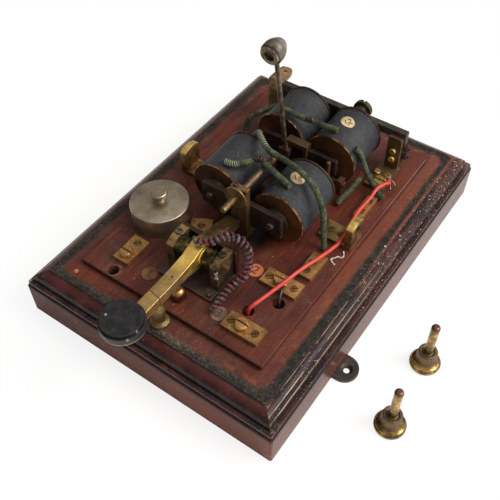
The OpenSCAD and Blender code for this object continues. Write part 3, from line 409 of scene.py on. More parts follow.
def board_wood():
    """Red inside, then a black stained band, and a near-black moulding rubbed at its edges, with painted
    highlights on its ridges, a painted reflection along its crown and a painted shade in the crease at its
    foot.
    """
    along = (1, 0.10, 1)
    material, place, dirt, grain = wood_grain("board_mahogany", along, 0.6)
    colour = mahogany(place, along, grain, 0.34)
    x, y = place.part("X"), place.part("Y")
    from_side, from_end = BOARD_HALF_X - x.size(), BOARD_HALF_Y - y.size()
    front = 1 - y.mask(-0.126, -0.108)
    left = 1 - x.mask(-0.090, -0.075)
    right = x.mask(0.078, 0.086)
    mitred = from_side.least(from_end)
    corner_run = (x.size() - CORNER_X).most(0.0).span((y.size() - CORNER_Y).most(0.0))
    ragged = place.noise(60, 4, 0.6) * 0.0030 + place.noise(900, 3, 0.7) * 0.0040 - 0.0035
    inward = CORNER_RADIUS - corner_run + ragged
    beside = (from_end - from_side).mask(0.0, 0.0010)
    on_right, on_left = right * beside, left * beside
    # The red inside, brighter beside the panel and along the band.
    tone = grain * 0.15 + place.noise(700, 4, 0.7) * 0.48 + place.noise(60, 4, 0.6) * 0.37
    fiery = tone.ramp(
        (0.38, (0.045, 0.016, 0.016)), (0.5, (0.079, 0.029, 0.025)), (0.62, (0.138, 0.057, 0.041)))
    ember = 1 - (inward - 0.0196).size().mask(0.001, 0.003)
    ember = ember * x.mask(0.03, 0.07).most(y.mask(0.08, 0.11))
    ember = ember * place.noise(150, 4, 0.65).mask(0.50, 0.58)
    fiery = (ember * 0.5).mix(fiery, (0.26, 0.095, 0.040))
    colour = (place.noise(34, 4, 0.6).mask(0.34, 0.58) * 0.85).mix(colour, fiery)
    glowing = x.mask(0.0728, 0.0740) * y.mask(-0.13, -0.03)
    colour = (glowing * 0.3).mix(colour, (0.24, 0.072, 0.034))
    smudge = place.noise(42, 4, 0.65).mask(0.53, 0.64) * (front.most(left) * 0.7 + 0.12)
    colour = smudge.mix(colour, (0.034, 0.027, 0.021))
    # The stained band, with dust that has gathered on it.
    stain = place.noise(260, 5, 0.7).ramp(
        (0.36, (0.010, 0.009, 0.0085)), (0.55, (0.022, 0.019, 0.017)), (0.72, (0.058, 0.050, 0.041)))
    dusty = place.noise(620, 4, 0.75).ramp(
        (0.38, (0.012, 0.008, 0.007)), (0.50, (0.026, 0.019, 0.015)), (0.62, (0.068, 0.053, 0.042)))
    stain = (front.most(left) * place.noise(24, 3).mask(0.36, 0.5)).mix(stain, dusty)
    start = mitred - right * y.mask(-0.03, 0.04) * 0.0022 + 0.0008
    band = start.mask(MOULDING_WIDTH, 0.0118) * (1 - inward.mask(0.0160, 0.0184))
    colour = band.mix(colour, stain)
    by_stop = place.far_from((0.012, -0.121, BOARD_TOP))
    piled = 1 - (inward - 0.0160).size().mask(0.0006, 0.0026)
    drift = front * piled * (1 - by_stop.mask(0.008, 0.024) * 0.7)
    drift = drift * place.noise(330, 4, 0.7).mask(0.42, 0.62)
    colour = (drift * 0.7).mix(colour, (0.24, 0.195, 0.155))
    # The moulding: near black, with a painted reflection along its crown, greyed on the left and at the back,
    # rusty on the right.
    moulding = 1 - mitred.mask(0.0106, 0.0114)
    streaks = place.stretched(1, 0.25, 1).noise(60, 4, 0.6) * 0.6 + place.noise(700, 4, 0.7) * 0.4
    maroon = streaks.ramp(
        (0.40, (0.009, 0.006, 0.007)), (0.50, (0.028, 0.010, 0.010)), (0.60, (0.070, 0.020, 0.016)))
    # Painted reflection: a dull red line along the moulding's crown, away from the right side.
    painted_crown_reflection = (1 - (mitred - 0.0078).size().mask(0.0008, 0.0030)) * (1 - on_right)
    maroon = (painted_crown_reflection * 0.55).mix(maroon, (0.075, 0.016, 0.013))
    at_back = y.mask(0.125, 0.127) * (1 - on_right)
    greyed = (on_left * 0.75).most(at_back * 0.7) * streaks.mask(0.36, 0.52)
    maroon = greyed.mix(maroon, (0.125, 0.082, 0.065))
    rusty = on_right * place.stretched(1, 0.4, 1).noise(150, 4, 0.7).mask(0.48, 0.60)
    maroon = (rusty * 0.5).mix(maroon, (0.080, 0.028, 0.020))
    colour = moulding.mix(colour, maroon)
    # Ridges partly rubbed and partly given painted highlights, chips, pale flecks, a green flake of paint and
    # knocked corners.
    chips = place.noise(420, 4, 0.7).mask(0.55, 0.61)
    toward_back = on_right * y.mask(-0.06, 0.03) * 0.5 + 0.02
    chipped = line_at(mitred, MOULDING_WIDTH, 0.0004) * chips * toward_back
    ridge_highlight_side = on_right * (1 - y.mask(-0.09, 0.03))
    inner_ridge, middle_ridge, outer_ridge = RIDGES
    # The pale lines along the ridges, near the front on the right, are partly worn arrises and partly painted
    # highlights.
    rubbed = line_at(mitred, inner_ridge, 0.0003).most(line_at(mitred, middle_ridge, 0.00028))
    rubbed = rubbed.most(line_at(mitred, outer_ridge, 0.0004)) * ridge_highlight_side
    lines = rubbed * place.stretched(1, 0.15, 1).noise(240, 4, 0.7).mask(0.40, 0.52)
    colour = chipped.most(lines).mix(colour, (0.40, 0.31, 0.20))
    # Painted shade: a dark line in the crease at the moulding's foot.
    painted_crease_shade = line_at(mitred, LIP_LINE, 0.0009)
    colour = (painted_crease_shade * 0.8).mix(colour, (0.006, 0.005, 0.005))
    flecks = (1 - place.noise(560, 2, 0.6).mask(0.32, 0.345)) * on_right * moulding * y.mask(-0.06, 0.0)
    colour = (flecks * 0.65).mix(colour, (0.48, 0.42, 0.35))
    flake = place.far_from((0.0869, 0.0189, BOARD_TOP))
    colour = (1 - flake.mask(0.0005, 0.0009)).mix(colour, (0.30, 0.52, 0.40))
    mitre = 1 - ((x.size() - y.size()) + 0.0385).size().mask(0.0006, 0.0022)
    corner = 1 - from_side.most(from_end).mask(0.004, 0.013)
    crumbled = place.noise(260, 5, 0.72) + on_right * y.mask(0.10, 0.12) * 0.05
    knocked = (mitre * corner.mask(0.0, 0.3) + corner * 0.35) * crumbled.mask(0.53, 0.62)
    colour = knocked.mix(colour, (0.27, 0.20, 0.14))
    dirt = dirt * (1 - moulding * 0.6)
    varnish = (1 - dirt) * (moulding * (1 - on_right * 0.85) * 0.16 + 0.02)
    return finish_wood(material, place, colour, dirt, grain, on_right * 0.14 + 0.20, varnish,
                       on_right * 0.9 + band * 0.35 + 0.22, 0.12)


def panel_wood():
    """Deep red, dark where hands and soot reach it, with painted shade between the coils and on its front face,
    and pale edges on the right that are partly rubbed and partly a painted highlight.
    """
    along = (1, 0.10, 1)
    material, place, dirt, grain = wood_grain("panel_mahogany", along, 0.6)
    colour = mahogany(place, along, grain, 0.40)
    x, y, z = (place.part(axis) for axis in "XYZ")
    soot = place.noise(17, 4, 0.6).mask(0.50, 0.66) * (1 - x.size().mask(0.045, 0.07))
    colour = (soot * 0.7).mix(colour, (0.020, 0.011, 0.011))
    # Painted shade on the panel between the coils.
    between = (1 - (x - 0.001).size().mask(0.016, 0.026)) * y.mask(-0.045, -0.030)
    colour = (between * 0.92).mix(colour, (0.006, 0.005, 0.005))
    # The pale line along the panel's right top edge: partly rubbed wear, partly a painted highlight.
    worn_and_highlit_edge = x.mask(0.0721, 0.0723) * z.mask(0.0425, 0.0427)
    worn_and_highlit_edge = worn_and_highlit_edge * place.stretched(1, 0.1, 1).noise(90, 3, 0.6).mask(0.40, 0.50)
    colour = (worn_and_highlit_edge * (y.mask(0.030, 0.055) * 0.45 + 0.2)).mix(colour, (0.30, 0.22, 0.18))
    foot = x.mask(0.0718, 0.0722) * (1 - z.mask(0.0402, 0.0407))
    colour = (foot * 0.8).mix(colour, (0.010, 0.006, 0.006))
    hole = place.far_from((-0.0489, -0.1034, PANEL_TOP))
    rim = line_at(hole, 0.0046, 0.0010) * place.noise(500, 3).mask(0.36, 0.56)
    colour = (rim * 0.35).mix(colour, (0.18, 0.135, 0.10))
    # Painted shade: the panel's front face is darkened.
    painted_shade_front = 1 - (y + 0.109).mask(0.0004, 0.0012)
    colour = (painted_shade_front * 0.7).mix(colour, (0.014, 0.007, 0.007))
    by_stop = 1 - place.far_from((0.006, -0.112, PANEL_TOP)).mask(0.008, 0.020)
    by_braid = 1 - place.far_from((0.036, -0.064, PANEL_TOP)).mask(0.006, 0.016)
    dusty = by_stop.most(by_braid) * 0.6 + 0.35
    return finish_wood(material, place, colour, dirt, grain, 0.30, (1 - dirt) * 0.04, dusty, 0.16)


remade("plinth", plinth_wood(), "mahogany", 0.0007, 3)
remade("base_board", board_wood(), "mahogany", 0.0005, 3)
remade("panel", panel_wood(), "mahogany")

PLUG_RADIUS, PLUG_DEPTH, PLUG_PLACE = 0.0015, 0.0004, (-0.0714, -0.1166, 0.03955)
plug = blank("board_plug", 24, PLUG_RADIUS, PLUG_DEPTH, PLUG_PLACE)
plug_material, plug_place = new_finish("pale_plug_wood")
plug_tone = plug_place.noise(900, 4, 0.7).mask(0.36, 0.62).mix((0.20, 0.075, 0.035), (0.42, 0.19, 0.085))
plug_relief = plug_place.noise(1400, 3).bump(0.3, 0.0001)
lay_on(plug_material, Base_Color=plug_tone, Roughness=0.6, Normal=plug_relief)
dress(round_edges(plug, 0.0002), plug_material, "base", "mahogany")


# Fixing lugs: flat iron ears with a countersunk hole, let into the base's underside and
# blackened with age; their rims are rubbed.
def old_iron(name, tone=(0.020, 0.014, 0.012), rust=(0.055, 0.028, 0.017), metal=0.55):
    """Blackened iron with rusty patches and a few rubbed points."""
    material, place = new_finish(name)
    patch = place.noise(130, 5, 0.65)
    colour = patch.mask(0.42, 0.68).mix(tone, rust)
    bright = place.noise(700, 2).mask(0.66, 0.8)
    colour = bright.mix(colour, (0.17, 0.145, 0.12))
    relief = place.noise(800, 4, 0.6).bump(0.25, 0.0002)
    return lay_on(material, Base_Color=colour, Metallic=metal, Roughness=patch * 0.35 + 0.3, Normal=relief)


lug_finish = old_iron("lug_iron", (0.026, 0.020, 0.017), (0.075, 0.050, 0.036), 0.4)
remade("fixing_lugs", lug_finish, "iron", 0.0006, 3)


# Cover posts: cast brass lugs with a cross hole, screwed down at the panel's sides to hold
# the wooden cover. Hand polish is left on their tops and edges, the faces are brown.
def aged_brass(name, bright, brown, wear, polish, grime=0.5):
    """Old brass between polish and brown tarnish; a higher wear leaves more of it bright."""
    material, place = new_finish(name)
    patch = place.noise(55, 5, 0.62, 0.3)
    fine = place.noise(420, 4, 0.6)
    worn = (patch * 0.75 + fine * 0.35).mask(0.78 - wear * 0.5, 0.98 - wear * 0.4)
    colour = worn.mix(brown, bright)
    dirt = place.noise(150, 5, 0.7).mask(0.56, 0.72) * grime
    colour = dirt.mix(colour, (0.045, 0.032, 0.022))
    verdigris = place.noise(95, 3).mask(0.70, 0.76) * 0.35
    colour = verdigris.mix(colour, (0.12, 0.15, 0.10))
    rough = (1 - worn) * 0.22 + fine * 0.14 + polish - 0.05
    relief = (fine * 0.5 + place.noise(1600, 2) * 0.5).bump(0.16, 0.00012)
    return lay_on(material, Base_Color=colour, Metallic=0.93 - dirt * 0.6, Roughness=rough, Normal=relief)


def post_brass():
    """Brown faces, and an arched top that hands have kept golden."""
    material, place = new_finish("cover_post_brass")
    patch = place.noise(90, 5, 0.62)
    colour = patch.ramp(
        (0.36, (0.105, 0.064, 0.026)), (0.5, (0.25, 0.155, 0.058)), (0.66, (0.48, 0.31, 0.115)))
    top = place.part("Z").mask(0.0595, 0.0640) * place.noise(200, 3).mask(0.30, 0.50)
    colour = (top * 0.85).mix(colour, (0.92, 0.62, 0.20))
    relief = place.noise(900, 3).bump(0.15, 0.00012)
    rough = patch * 0.2 - top * 0.12 + 0.34
    return lay_on(material, Base_Color=colour, Metallic=0.93, Roughness=rough, Normal=relief)


post_finish = post_brass()
for node in ("cover_post_left", "cover_post_right"):
    remade(node, post_finish, "brass", 0.0004)
screw_finish = aged_brass("screw_brass", (0.48, 0.29, 0.095), (0.13, 0.07, 0.03), 0.45, 0.30)
remade("cover_post_screws", screw_finish, "brass", 0.00015, 1)


# Coils: four bobbins of lacquered brass cheeks on iron cores, their windings wrapped in
# waxed blue-grey paper. Two wear an oval paper label on top, here with plain numbers.
COIL_HEIGHT, CHEEK_RADIUS, PAPER_RADIUS = 0.0645, 0.020, 0.0193
coil_places = {"front_left": -0.0245, "front_right": 0.0245, "rear_left": -0.0179, "rear_right": 0.0236}


def cheek_finish(name, x, middle):
    """Brown lacquered brass, with a painted highlight on the near cheek's rim."""
    material, place = new_finish(name)
    centred = place.node("Mapping", None, {"Vector": place, "Location": (-x, 0, -COIL_HEIGHT)})
    out = centred.part("X").span(centred.part("Z"))
    patch = place.noise(60, 5, 0.6)
    lacquer = patch.mask(0.35, 0.65).mix((0.078, 0.034, 0.015), (0.215, 0.095, 0.038))
    soot = place.noise(35, 3).mask(0.50, 0.66)
    lacquer = (soot * 0.8).mix(lacquer, (0.026, 0.016, 0.014))
    near = 1 - place.part("Y").mask(middle, middle + 0.001) * 0.85
    rim = out.mask(0.01955, 0.01975) * (1 - out.mask(0.01992, CHEEK_RADIUS))
    # The bright rim of the near cheek is a painted highlight.
    rubbed = near * rim * place.noise(200, 3).mask(0.44, 0.58)
    edge = out.mask(0.01985, 0.01995)
    lacquer = edge.mix(lacquer, (0.030, 0.018, 0.011))
    colour = rubbed.mix(lacquer, (0.62, 0.32, 0.13))
    rough = patch * 0.25 + edge * 0.2 + 0.26
    relief = place.noise(500, 3).bump(0.12, 0.0001)
    return lay_on(material, Base_Color=colour, Metallic=0.75, Roughness=rough, Normal=relief)


def waxed_paper():
    """Blue-grey paper darkened by wax, with pale scuffs and dots."""
    material, place = new_finish("waxed_paper")
    mottle = place.noise(240, 5, 0.7)
    cloud = place.noise(40, 4, 0.6)
    colour = mottle.ramp(
        (0.3, (0.012, 0.0125, 0.0145)), (0.5, (0.022, 0.023, 0.026)), (0.72, (0.039, 0.039, 0.042)))
    colour = (cloud.mask(0.48, 0.72) * 0.8).mix(colour, (0.044, 0.041, 0.039))
    scuffs = (1 - place.spots(380).mask(0.10, 0.17)) * place.noise(75, 3).mask(0.46, 0.60)
    colour = (scuffs * 0.6).mix(colour, (0.19, 0.19, 0.19))
    dots = 1 - place.spots(135).mask(0.035, 0.060)
    colour = (dots * 0.7).mix(colour, (0.26, 0.26, 0.25))
    pores = place.noise(1500, 2, 0.7)
    colour = (pores.mask(0.60, 0.70) * 0.35).mix(colour, (0.12, 0.125, 0.135))
    colour = ((1 - pores.mask(0.32, 0.42)) * 0.6).mix(colour, (0.007, 0.008, 0.011))
    relief = (mottle * 0.6 + place.noise(1100, 3) * 0.4).bump(0.35, 0.0002)
    return lay_on(material, Base_Color=colour, Roughness=mottle * 0.25 + 0.5, Normal=relief,
                  Specular_IOR_Level=0.22)


paper_finish = waxed_paper()
for coil, x in coil_places.items():
    low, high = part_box("bobbin_" + coil)
    lacquered = cheek_finish("cheek_" + coil, x, (low[1] + high[1]) / 2)
    remade("bobbin_" + coil, lacquered, "cheek_brass", 0.00035)
    remade("winding_" + coil, paper_finish, "coil_wrap")


def label_paper():
    """Yellowed paper with brown stains."""
    material, place = new_finish("label_paper")
    colour = place.noise(300, 4, 0.65).ramp(
        (0.35, (0.30, 0.185, 0.085)), (0.5, (0.51, 0.36, 0.195)), (0.68, (0.62, 0.46, 0.27)))
    return lay_on(material, Base_Color=colour, Roughness=0.7)


def label_ink():
    """Brown-black ink, faded in places."""
    material, place = new_finish("label_ink")
    colour = place.noise(600, 2).ramp((0.4, (0.015, 0.012, 0.012)), (0.65, (0.06, 0.045, 0.035)))
    return lay_on(material, Base_Color=colour, Roughness=0.65)


def wrap_on_coil(piece, x, along, turn, radius):
    """Lays a flat piece, drawn about the origin, round a coil: its X goes round, its Y along."""
    for vertex in piece.data.vertices:
        angle = turn + vertex.co.x / radius
        out = radius + vertex.co.z
        vertex.co = (x + out * math.sin(angle), along + vertex.co.y, COIL_HEIGHT + out * math.cos(angle))


def plain_number(name, number, size, half_thick):
    """A number as a thin flat mesh about the origin."""
    bpy.ops.object.select_all(action="DESELECT")
    bpy.ops.object.text_add()
    words = bpy.context.object
    words.data.body = number
    words.data.size = size
    words.data.align_x = "CENTER"
    words.data.align_y = "CENTER"
    words.data.extrude = half_thick
    bpy.ops.object.convert(target="MESH")
    digits = bpy.context.object
    digits.name = name
    return digits


LABEL_RADIUS, LABEL_OVAL, LABEL_SLANT = 0.0052, (1.16, 0.9, 1), math.radians(35)
LABEL_NUMBER_SIZE, LABEL_NUMBER_HALF_THICK = 0.0062, 0.00004
LABEL_LIFT, INK_LIFT = 0.00002, 0.00008
label_finish, ink_finish = label_paper(), label_ink()
for coil, number, along, turn in (("rear_right", "12", 0.0690, 0), ("front_right", "14", 0.0021, 1)):
    x = coil_places[coil]
    bpy.ops.object.select_all(action="DESELECT")
    bpy.ops.mesh.primitive_circle_add(vertices=48, radius=LABEL_RADIUS, fill_type="TRIFAN")
    label = bpy.context.object
    label.name = "label_" + coil
    bpy.ops.object.mode_set(mode="EDIT")
    bpy.ops.mesh.select_all(action="SELECT")
    bpy.ops.transform.resize(value=LABEL_OVAL)
    bpy.ops.mesh.subdivide(number_cuts=3)
    bpy.ops.transform.rotate(value=LABEL_SLANT, orient_axis="Z", center_override=(0, 0, 0))
    bpy.ops.object.mode_set(mode="OBJECT")
    wrap_on_coil(label, x, along, math.radians(turn), PAPER_RADIUS + LABEL_LIFT)
    bpy.ops.object.shade_smooth()
    dress(label, label_finish, "base", "coil_wrap")
    digits = plain_number("label_number_" + coil, number, LABEL_NUMBER_SIZE, LABEL_NUMBER_HALF_THICK)
    digits.data.transform(Matrix.Rotation(LABEL_SLANT, 4, "Z"))
    wrap_on_coil(digits, x, along, math.radians(turn), PAPER_RADIUS + INK_LIFT)
    dress(digits, ink_finish, "base", "coil_wrap")

iron_finish = old_iron("blackened_iron")
for node in ("front_yoke", "front_cores", "rear_yoke", "rear_cores"):
    remade(node, iron_finish, "iron", 0.0004)


def dull_steel(name, tone, pale):
    """Steel browned by age in patches."""
    material, place = new_finish(name)
    patch = place.noise(180, 4, 0.6)
    colour = patch.mask(0.42, 0.66).mix(tone, pale)
    relief = place.noise(900, 3).bump(0.2, 0.00015)
    return lay_on(material, Base_Color=colour, Metallic=0.8, Roughness=patch * 0.3 + 0.28, Normal=relief)


yoke_screw_finish = dull_steel("yoke_screw_steel", (0.07, 0.045, 0.035), (0.2, 0.15, 0.12))
remade("yoke_screws", yoke_screw_finish, "steel", 0.0002)


# Rear rail, brackets and disc: an iron bar screwed along the rear yoke, a folded brass strip
# at its left with a rounded tongue, a brass foot at its right, and a slotted milled disc.
rail_finish = old_iron("rail_iron", (0.034, 0.030, 0.024), (0.075, 0.062, 0.042))
remade("rear_rail", rail_finish, "iron", 0.0004)
TONGUE_HOLE_INSET, TONGUE_REACH, TONGUE_HOLE_EDGE, TONGUE_ROUND = 0.006, 0.0095, 0.0025, 0.0030
tongue_finish = aged_brass("tongue_brass", (0.58, 0.37, 0.19), (0.15, 0.090, 0.042), 0.58, 0.36)
left_bracket = bare_copy("rear_bracket_left")
bracket_low, bracket_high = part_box("rear_bracket_left")
hole_middle = Vector(((bracket_low[0] + bracket_high[0]) / 2, bracket_high[1] - TONGUE_HOLE_INSET))
bpy.ops.object.mode_set(mode="EDIT")
bpy.ops.mesh.select_mode(type="EDGE")
bpy.ops.mesh.select_all(action="DESELECT")
bpy.ops.object.mode_set(mode="OBJECT")
for edge in left_bracket.data.edges:
    one, two = (left_bracket.data.vertices[i].co for i in edge.vertices)
    upright_edge = (one.xy - two.xy).length < 0.00001
    on_tongue = one.y > bracket_high[1] - TONGUE_REACH
    edge.select = upright_edge and on_tongue and (one.xy - hole_middle).length > TONGUE_HOLE_EDGE
bpy.ops.object.mode_set(mode="EDIT")
bpy.ops.mesh.bevel(offset=TONGUE_ROUND, segments=5, affect="EDGES")
bpy.ops.object.mode_set(mode="OBJECT")
dress(round_edges(left_bracket, 0.0003), tongue_finish, "base", "brass", "rear_bracket_left")
bracket_finish = aged_brass("bracket_brass", (0.41, 0.25, 0.11), (0.12, 0.070, 0.036), 0.5, 0.34, 0.6)
remade("rear_bracket_right", bracket_finish, "brass")
bright_finish = aged_brass("bright_screws", (0.78, 0.52, 0.18), (0.3, 0.18, 0.07), 0.75, 0.24, 0.3)
remade("rear_bracket_screws", bright_finish, "brass", 0.00025)
disc_finish = aged_brass("disc_brass", (0.22, 0.16, 0.085), (0.07, 0.05, 0.03), 0.4, 0.36, 0.6)
remade("rear_disc", disc_finish, "brass")


def pull(way):
    """Extrudes the selected faces by a vector, in edit mode."""
    bpy.ops.mesh.extrude_region_move(TRANSFORM_OT_translate={"value": way})


NUT_RADIUS, NUT_DEPTH, NUT_X, NUT_Y = 0.0029, 0.0026, 0.0628, 0.0890
STUD_INSET, STUD_LENGTH = 0.0012, 0.0016
nut_finish = old_iron("nut_iron", (0.018, 0.011, 0.011), (0.055, 0.026, 0.024), 0.5)
for i, height in enumerate((0.0640, 0.0565)):
    nut_place, on_its_side = (NUT_X, NUT_Y, height), (0, math.pi / 2, 0)
    nut = blank(f"rail_end_nut_{i + 1}", 6, NUT_RADIUS, NUT_DEPTH, nut_place, on_its_side)
    pick_outer_face(nut, 0)
    bpy.ops.mesh.inset(thickness=STUD_INSET)
    pull((STUD_LENGTH, 0, 0))
    bpy.ops.object.mode_set(mode="OBJECT")
    dress(round_edges(nut, 0.0003), nut_finish, "base", "iron")


# Adjuster: an upright brass strip before the front yoke carries the milled adjusting screw,
# which runs back into a dark tube that holds the armature's spring.
adjuster_finish = aged_brass("adjuster_brass", (0.45, 0.29, 0.11), (0.13, 0.08, 0.037), 0.55, 0.32)
for node in ("adjuster_bracket", "adjusting_screw"):
    remade(node, adjuster_finish, "brass")
tube_finish = aged_brass("tube_brass", (0.28, 0.175, 0.095), (0.105, 0.066, 0.040), 0.5, 0.42)
remade("spring_tube", tube_finish, "brass", 0.0002)
copper_finish = aged_brass("coppery_brass", (0.33, 0.175, 0.105), (0.12, 0.062, 0.042), 0.5, 0.36)
remade("adjuster_lock_screw", copper_finish, "copper_brass", 0.0002)


# Armature: a flat iron bar across the rear poles on a brass carrier, pivoted on a spindle
# between two posts. The hammer's rod is clamped to it and leans forward.
for node in ("armature_posts", "armature_carrier"):
    remade(node, bracket_finish, "brass")
for node in ("armature_spindle", "armature_stop"):
    remade(node, copper_finish, "copper_brass", 0.0002)
remade("armature_bar", iron_finish, "iron", 0.0004)
remade("rod_clamp", copper_finish, "copper_brass")
rod_finish = dull_steel("rod_steel", (0.10, 0.065, 0.042), (0.24, 0.19, 0.14))
remade("hammer_rod", rod_finish, "steel", 0.0001, 1)


# The hammer leans ten degrees: its axis in Y and Z, and how far along it the front face lies.
HAMMER_AXIS, HAMMER_FACE = (0.98481, 0.17365), 0.039956


def hammer_bronze():
    """Grey-brown bronze with a rubbed ring in front, two turned lines and a paler back."""
    material, place = new_finish("hammer_bronze")
    back = place.part("Y") * HAMMER_AXIS[0] + place.part("Z") * HAMMER_AXIS[1] - HAMMER_FACE
    patch = place.noise(170, 5, 0.68)
    colour = patch.ramp(
        (0.36, (0.050, 0.040, 0.031)), (0.5, (0.115, 0.095, 0.073)), (0.66, (0.185, 0.155, 0.122)))
    pale = patch.mask(0.36, 0.62).mix((0.12, 0.108, 0.092), (0.26, 0.24, 0.21))
    colour = back.mask(0.0086, 0.0090).mix(colour, pale)
    ring = 1 - back.mask(0.0003, 0.0007)
    colour = ring.mix(colour, patch.mask(0.40, 0.60).mix((0.125, 0.085, 0.052), (0.36, 0.29, 0.20)))
    turned_lines = line_at(back, 0.0086, 0.0003).most(line_at(back, 0.0012, 0.0005))
    colour = (turned_lines * 0.75).mix(colour, (0.020, 0.016, 0.013))
    relief = place.noise(900, 3).bump(0.2, 0.00015)
    return lay_on(material, Base_Color=colour, Metallic=0.75, Roughness=patch * 0.2 + 0.36, Normal=relief)


hammer = round_edges(bare_copy("hammer_head"), 0.0003, 2, 11)
dress(hammer, hammer_bronze(), body_of("hammer_head"), "bronze", "hammer_head")


# Tapping key: a cast brass lever on an axle between two ears, with a rear contact, a front
# stop and a black finger knob on a pale skirt. The lever is tan, with a painted highlight on its top over the
# pivot.
key_plate_finish = old_iron("key_plate_brown", (0.022, 0.012, 0.010), (0.055, 0.025, 0.018), 0.0)
remade("key_plate", key_plate_finish, "ebonite")


def ear_brass():
    """Dirty cast brass, with a painted highlight at its top corners, and old paint spattered on one face."""
    material, place = new_finish("ear_brass")
    x, y, z = (place.part(axis) for axis in "XYZ")
    patch = place.noise(110, 5, 0.66)
    colour = patch.ramp(
        (0.36, (0.030, 0.022, 0.012)), (0.5, (0.085, 0.058, 0.026)), (0.66, (0.22, 0.145, 0.058)))
    # A painted highlight on the ears' top corners, weaker on the right ear.
    top = z.mask(0.0605, 0.0675) * (1 - x.mask(0.010, 0.016) * 0.65)
    top = top * place.noise(190, 4).mask(0.36, 0.56)
    colour = (top * 0.8).mix(colour, (0.46, 0.29, 0.11))
    green = place.noise(70, 4).mask(0.56, 0.66) * 0.6
    colour = green.mix(colour, (0.045, 0.044, 0.028))
    spatter_area = (x - 0.0183).size().mask(0.0014, 0.0032).most((z - 0.0600).size().mask(0.003, 0.007))
    spatter = (1 - spatter_area) * (1 - y.mask(-0.0786, -0.0780))
    spatter = spatter * place.noise(420, 3, 0.7).mask(0.50, 0.56)
    colour = spatter.mix(colour, (0.42, 0.40, 0.38))
    relief = (patch * 0.6 + spatter * 0.6 + place.noise(800, 3) * 0.3).bump(0.35, 0.0003)
    return lay_on(material, Base_Color=colour, Metallic=0.85 - spatter * 0.8,
                  Roughness=0.52 - top * 0.16, Normal=relief)


ear_finish = ear_brass()
for node in ("key_bracket_left", "key_bracket_right"):
    remade(node, ear_finish, "brass", 0.0007, 3)
wall_finish = aged_brass("wall_brown", (0.14, 0.075, 0.045), (0.06, 0.033, 0.022), 0.4, 0.4)
remade("key_bracket_wall", wall_finish, "brass", 0.0005)
key_screw_finish = dull_steel("key_screw_steel", (0.060, 0.045, 0.036), (0.17, 0.14, 0.115))
remade("key_screws", key_screw_finish, "steel", 0.0002)


def stud_copper():
    """Coppery contact: brown low down, with a painted highlight on its dome where the lever strikes it."""
    material, place = new_finish("stud_copper")
    patch = place.noise(300, 4, 0.6)
    low = patch.mask(0.38, 0.62).mix((0.085, 0.035, 0.018), (0.21, 0.092, 0.042))
    # A painted highlight over the dome's top.
    colour = (place.part("Z").mask(0.0490, 0.0525) * 0.9).mix(low, (0.85, 0.46, 0.16))
    relief = place.noise(900, 3).bump(0.15, 0.00012)
    return lay_on(material, Base_Color=colour, Metallic=0.95, Roughness=patch * 0.2 + 0.24, Normal=relief)


remade("key_contact_stud", stud_copper(), "copper_brass", 0.0004)
stop_finish = aged_brass("stop_brass", (0.64, 0.43, 0.14), (0.14, 0.09, 0.035), 0.55, 0.27)
remade("key_front_stop", stop_finish, "brass", 0.0004)
remade("key_axle", copper_finish, "copper_brass", 0.0004)


def lever_brass():
    """Handled brass: tan in front, with a painted golden highlight over the pivot, brown behind, and a dirty
    hub.
    """
    material, place = new_finish("lever_brass")
    x, along = place.part("X"), place.part("Y")
    haze = place.noise(90, 5, 0.62)
    fine = place.noise(600, 4, 0.65)
    base = (haze * 0.7 + fine * 0.3).ramp(
        (0.36, (0.33, 0.200, 0.078)), (0.5, (0.50, 0.320, 0.120)), (0.64, (0.62, 0.420, 0.170)))
    # A painted golden highlight on the crest over the pivot.
    painted_crest_highlight = along.mask(-0.098, -0.086) * (1 - along.mask(-0.078, -0.068))
    golden = haze.mask(0.34, 0.56).mix((0.76, 0.42, 0.10), (1.0, 0.70, 0.18))
    base = painted_crest_highlight.mix(base, golden)
    brown = haze.mask(0.36, 0.62).mix((0.085, 0.055, 0.024), (0.26, 0.175, 0.070))
    base = along.mask(-0.077, -0.066).mix(base, brown)
    blot = place.noise(160, 5, 0.7).mask(0.56, 0.70)
    base = (blot * 0.6).mix(base, (0.115, 0.080, 0.038))
    scratch = place.stretched(1, 0.12, 1).noise(1300, 3).mask(0.60, 0.70)
    base = (scratch * 0.35).mix(base, (0.62, 0.45, 0.21))
    dot = place.far_from((0.00005, -0.0997, 0.0685))
    base = ((1 - dot.mask(0.0010, 0.0015)) * 0.8).mix(base, (0.07, 0.062, 0.05))
    groove = (along + x * 0.19 + 0.1160).size()
    base = ((1 - groove.mask(0.0002, 0.0005)) * 0.85).mix(base, (0.055, 0.035, 0.016))
    hub = (x + 0.0005).size().mask(0.0048, 0.0054)
    dirty = place.noise(210, 5, 0.68).ramp(
        (0.38, (0.022, 0.018, 0.010)), (0.5, (0.060, 0.045, 0.020)),
        (0.60, (0.17, 0.115, 0.042)), (0.70, (0.60, 0.41, 0.12)))
    base = hub.mix(base, dirty)
    filed = place.stretched(1, 0.2, 1).noise(900, 3)
    relief = (filed * 0.5 + haze * 0.3 + hub * fine * 0.8).bump(0.18, 0.00018)
    rough = haze * 0.12 + blot * 0.15 + 0.30
    return lay_on(material, Base_Color=base, Metallic=0.94 - blot * 0.35, Roughness=rough, Normal=relief)


remade("key_lever", lever_brass(), "brass", 0.00025)


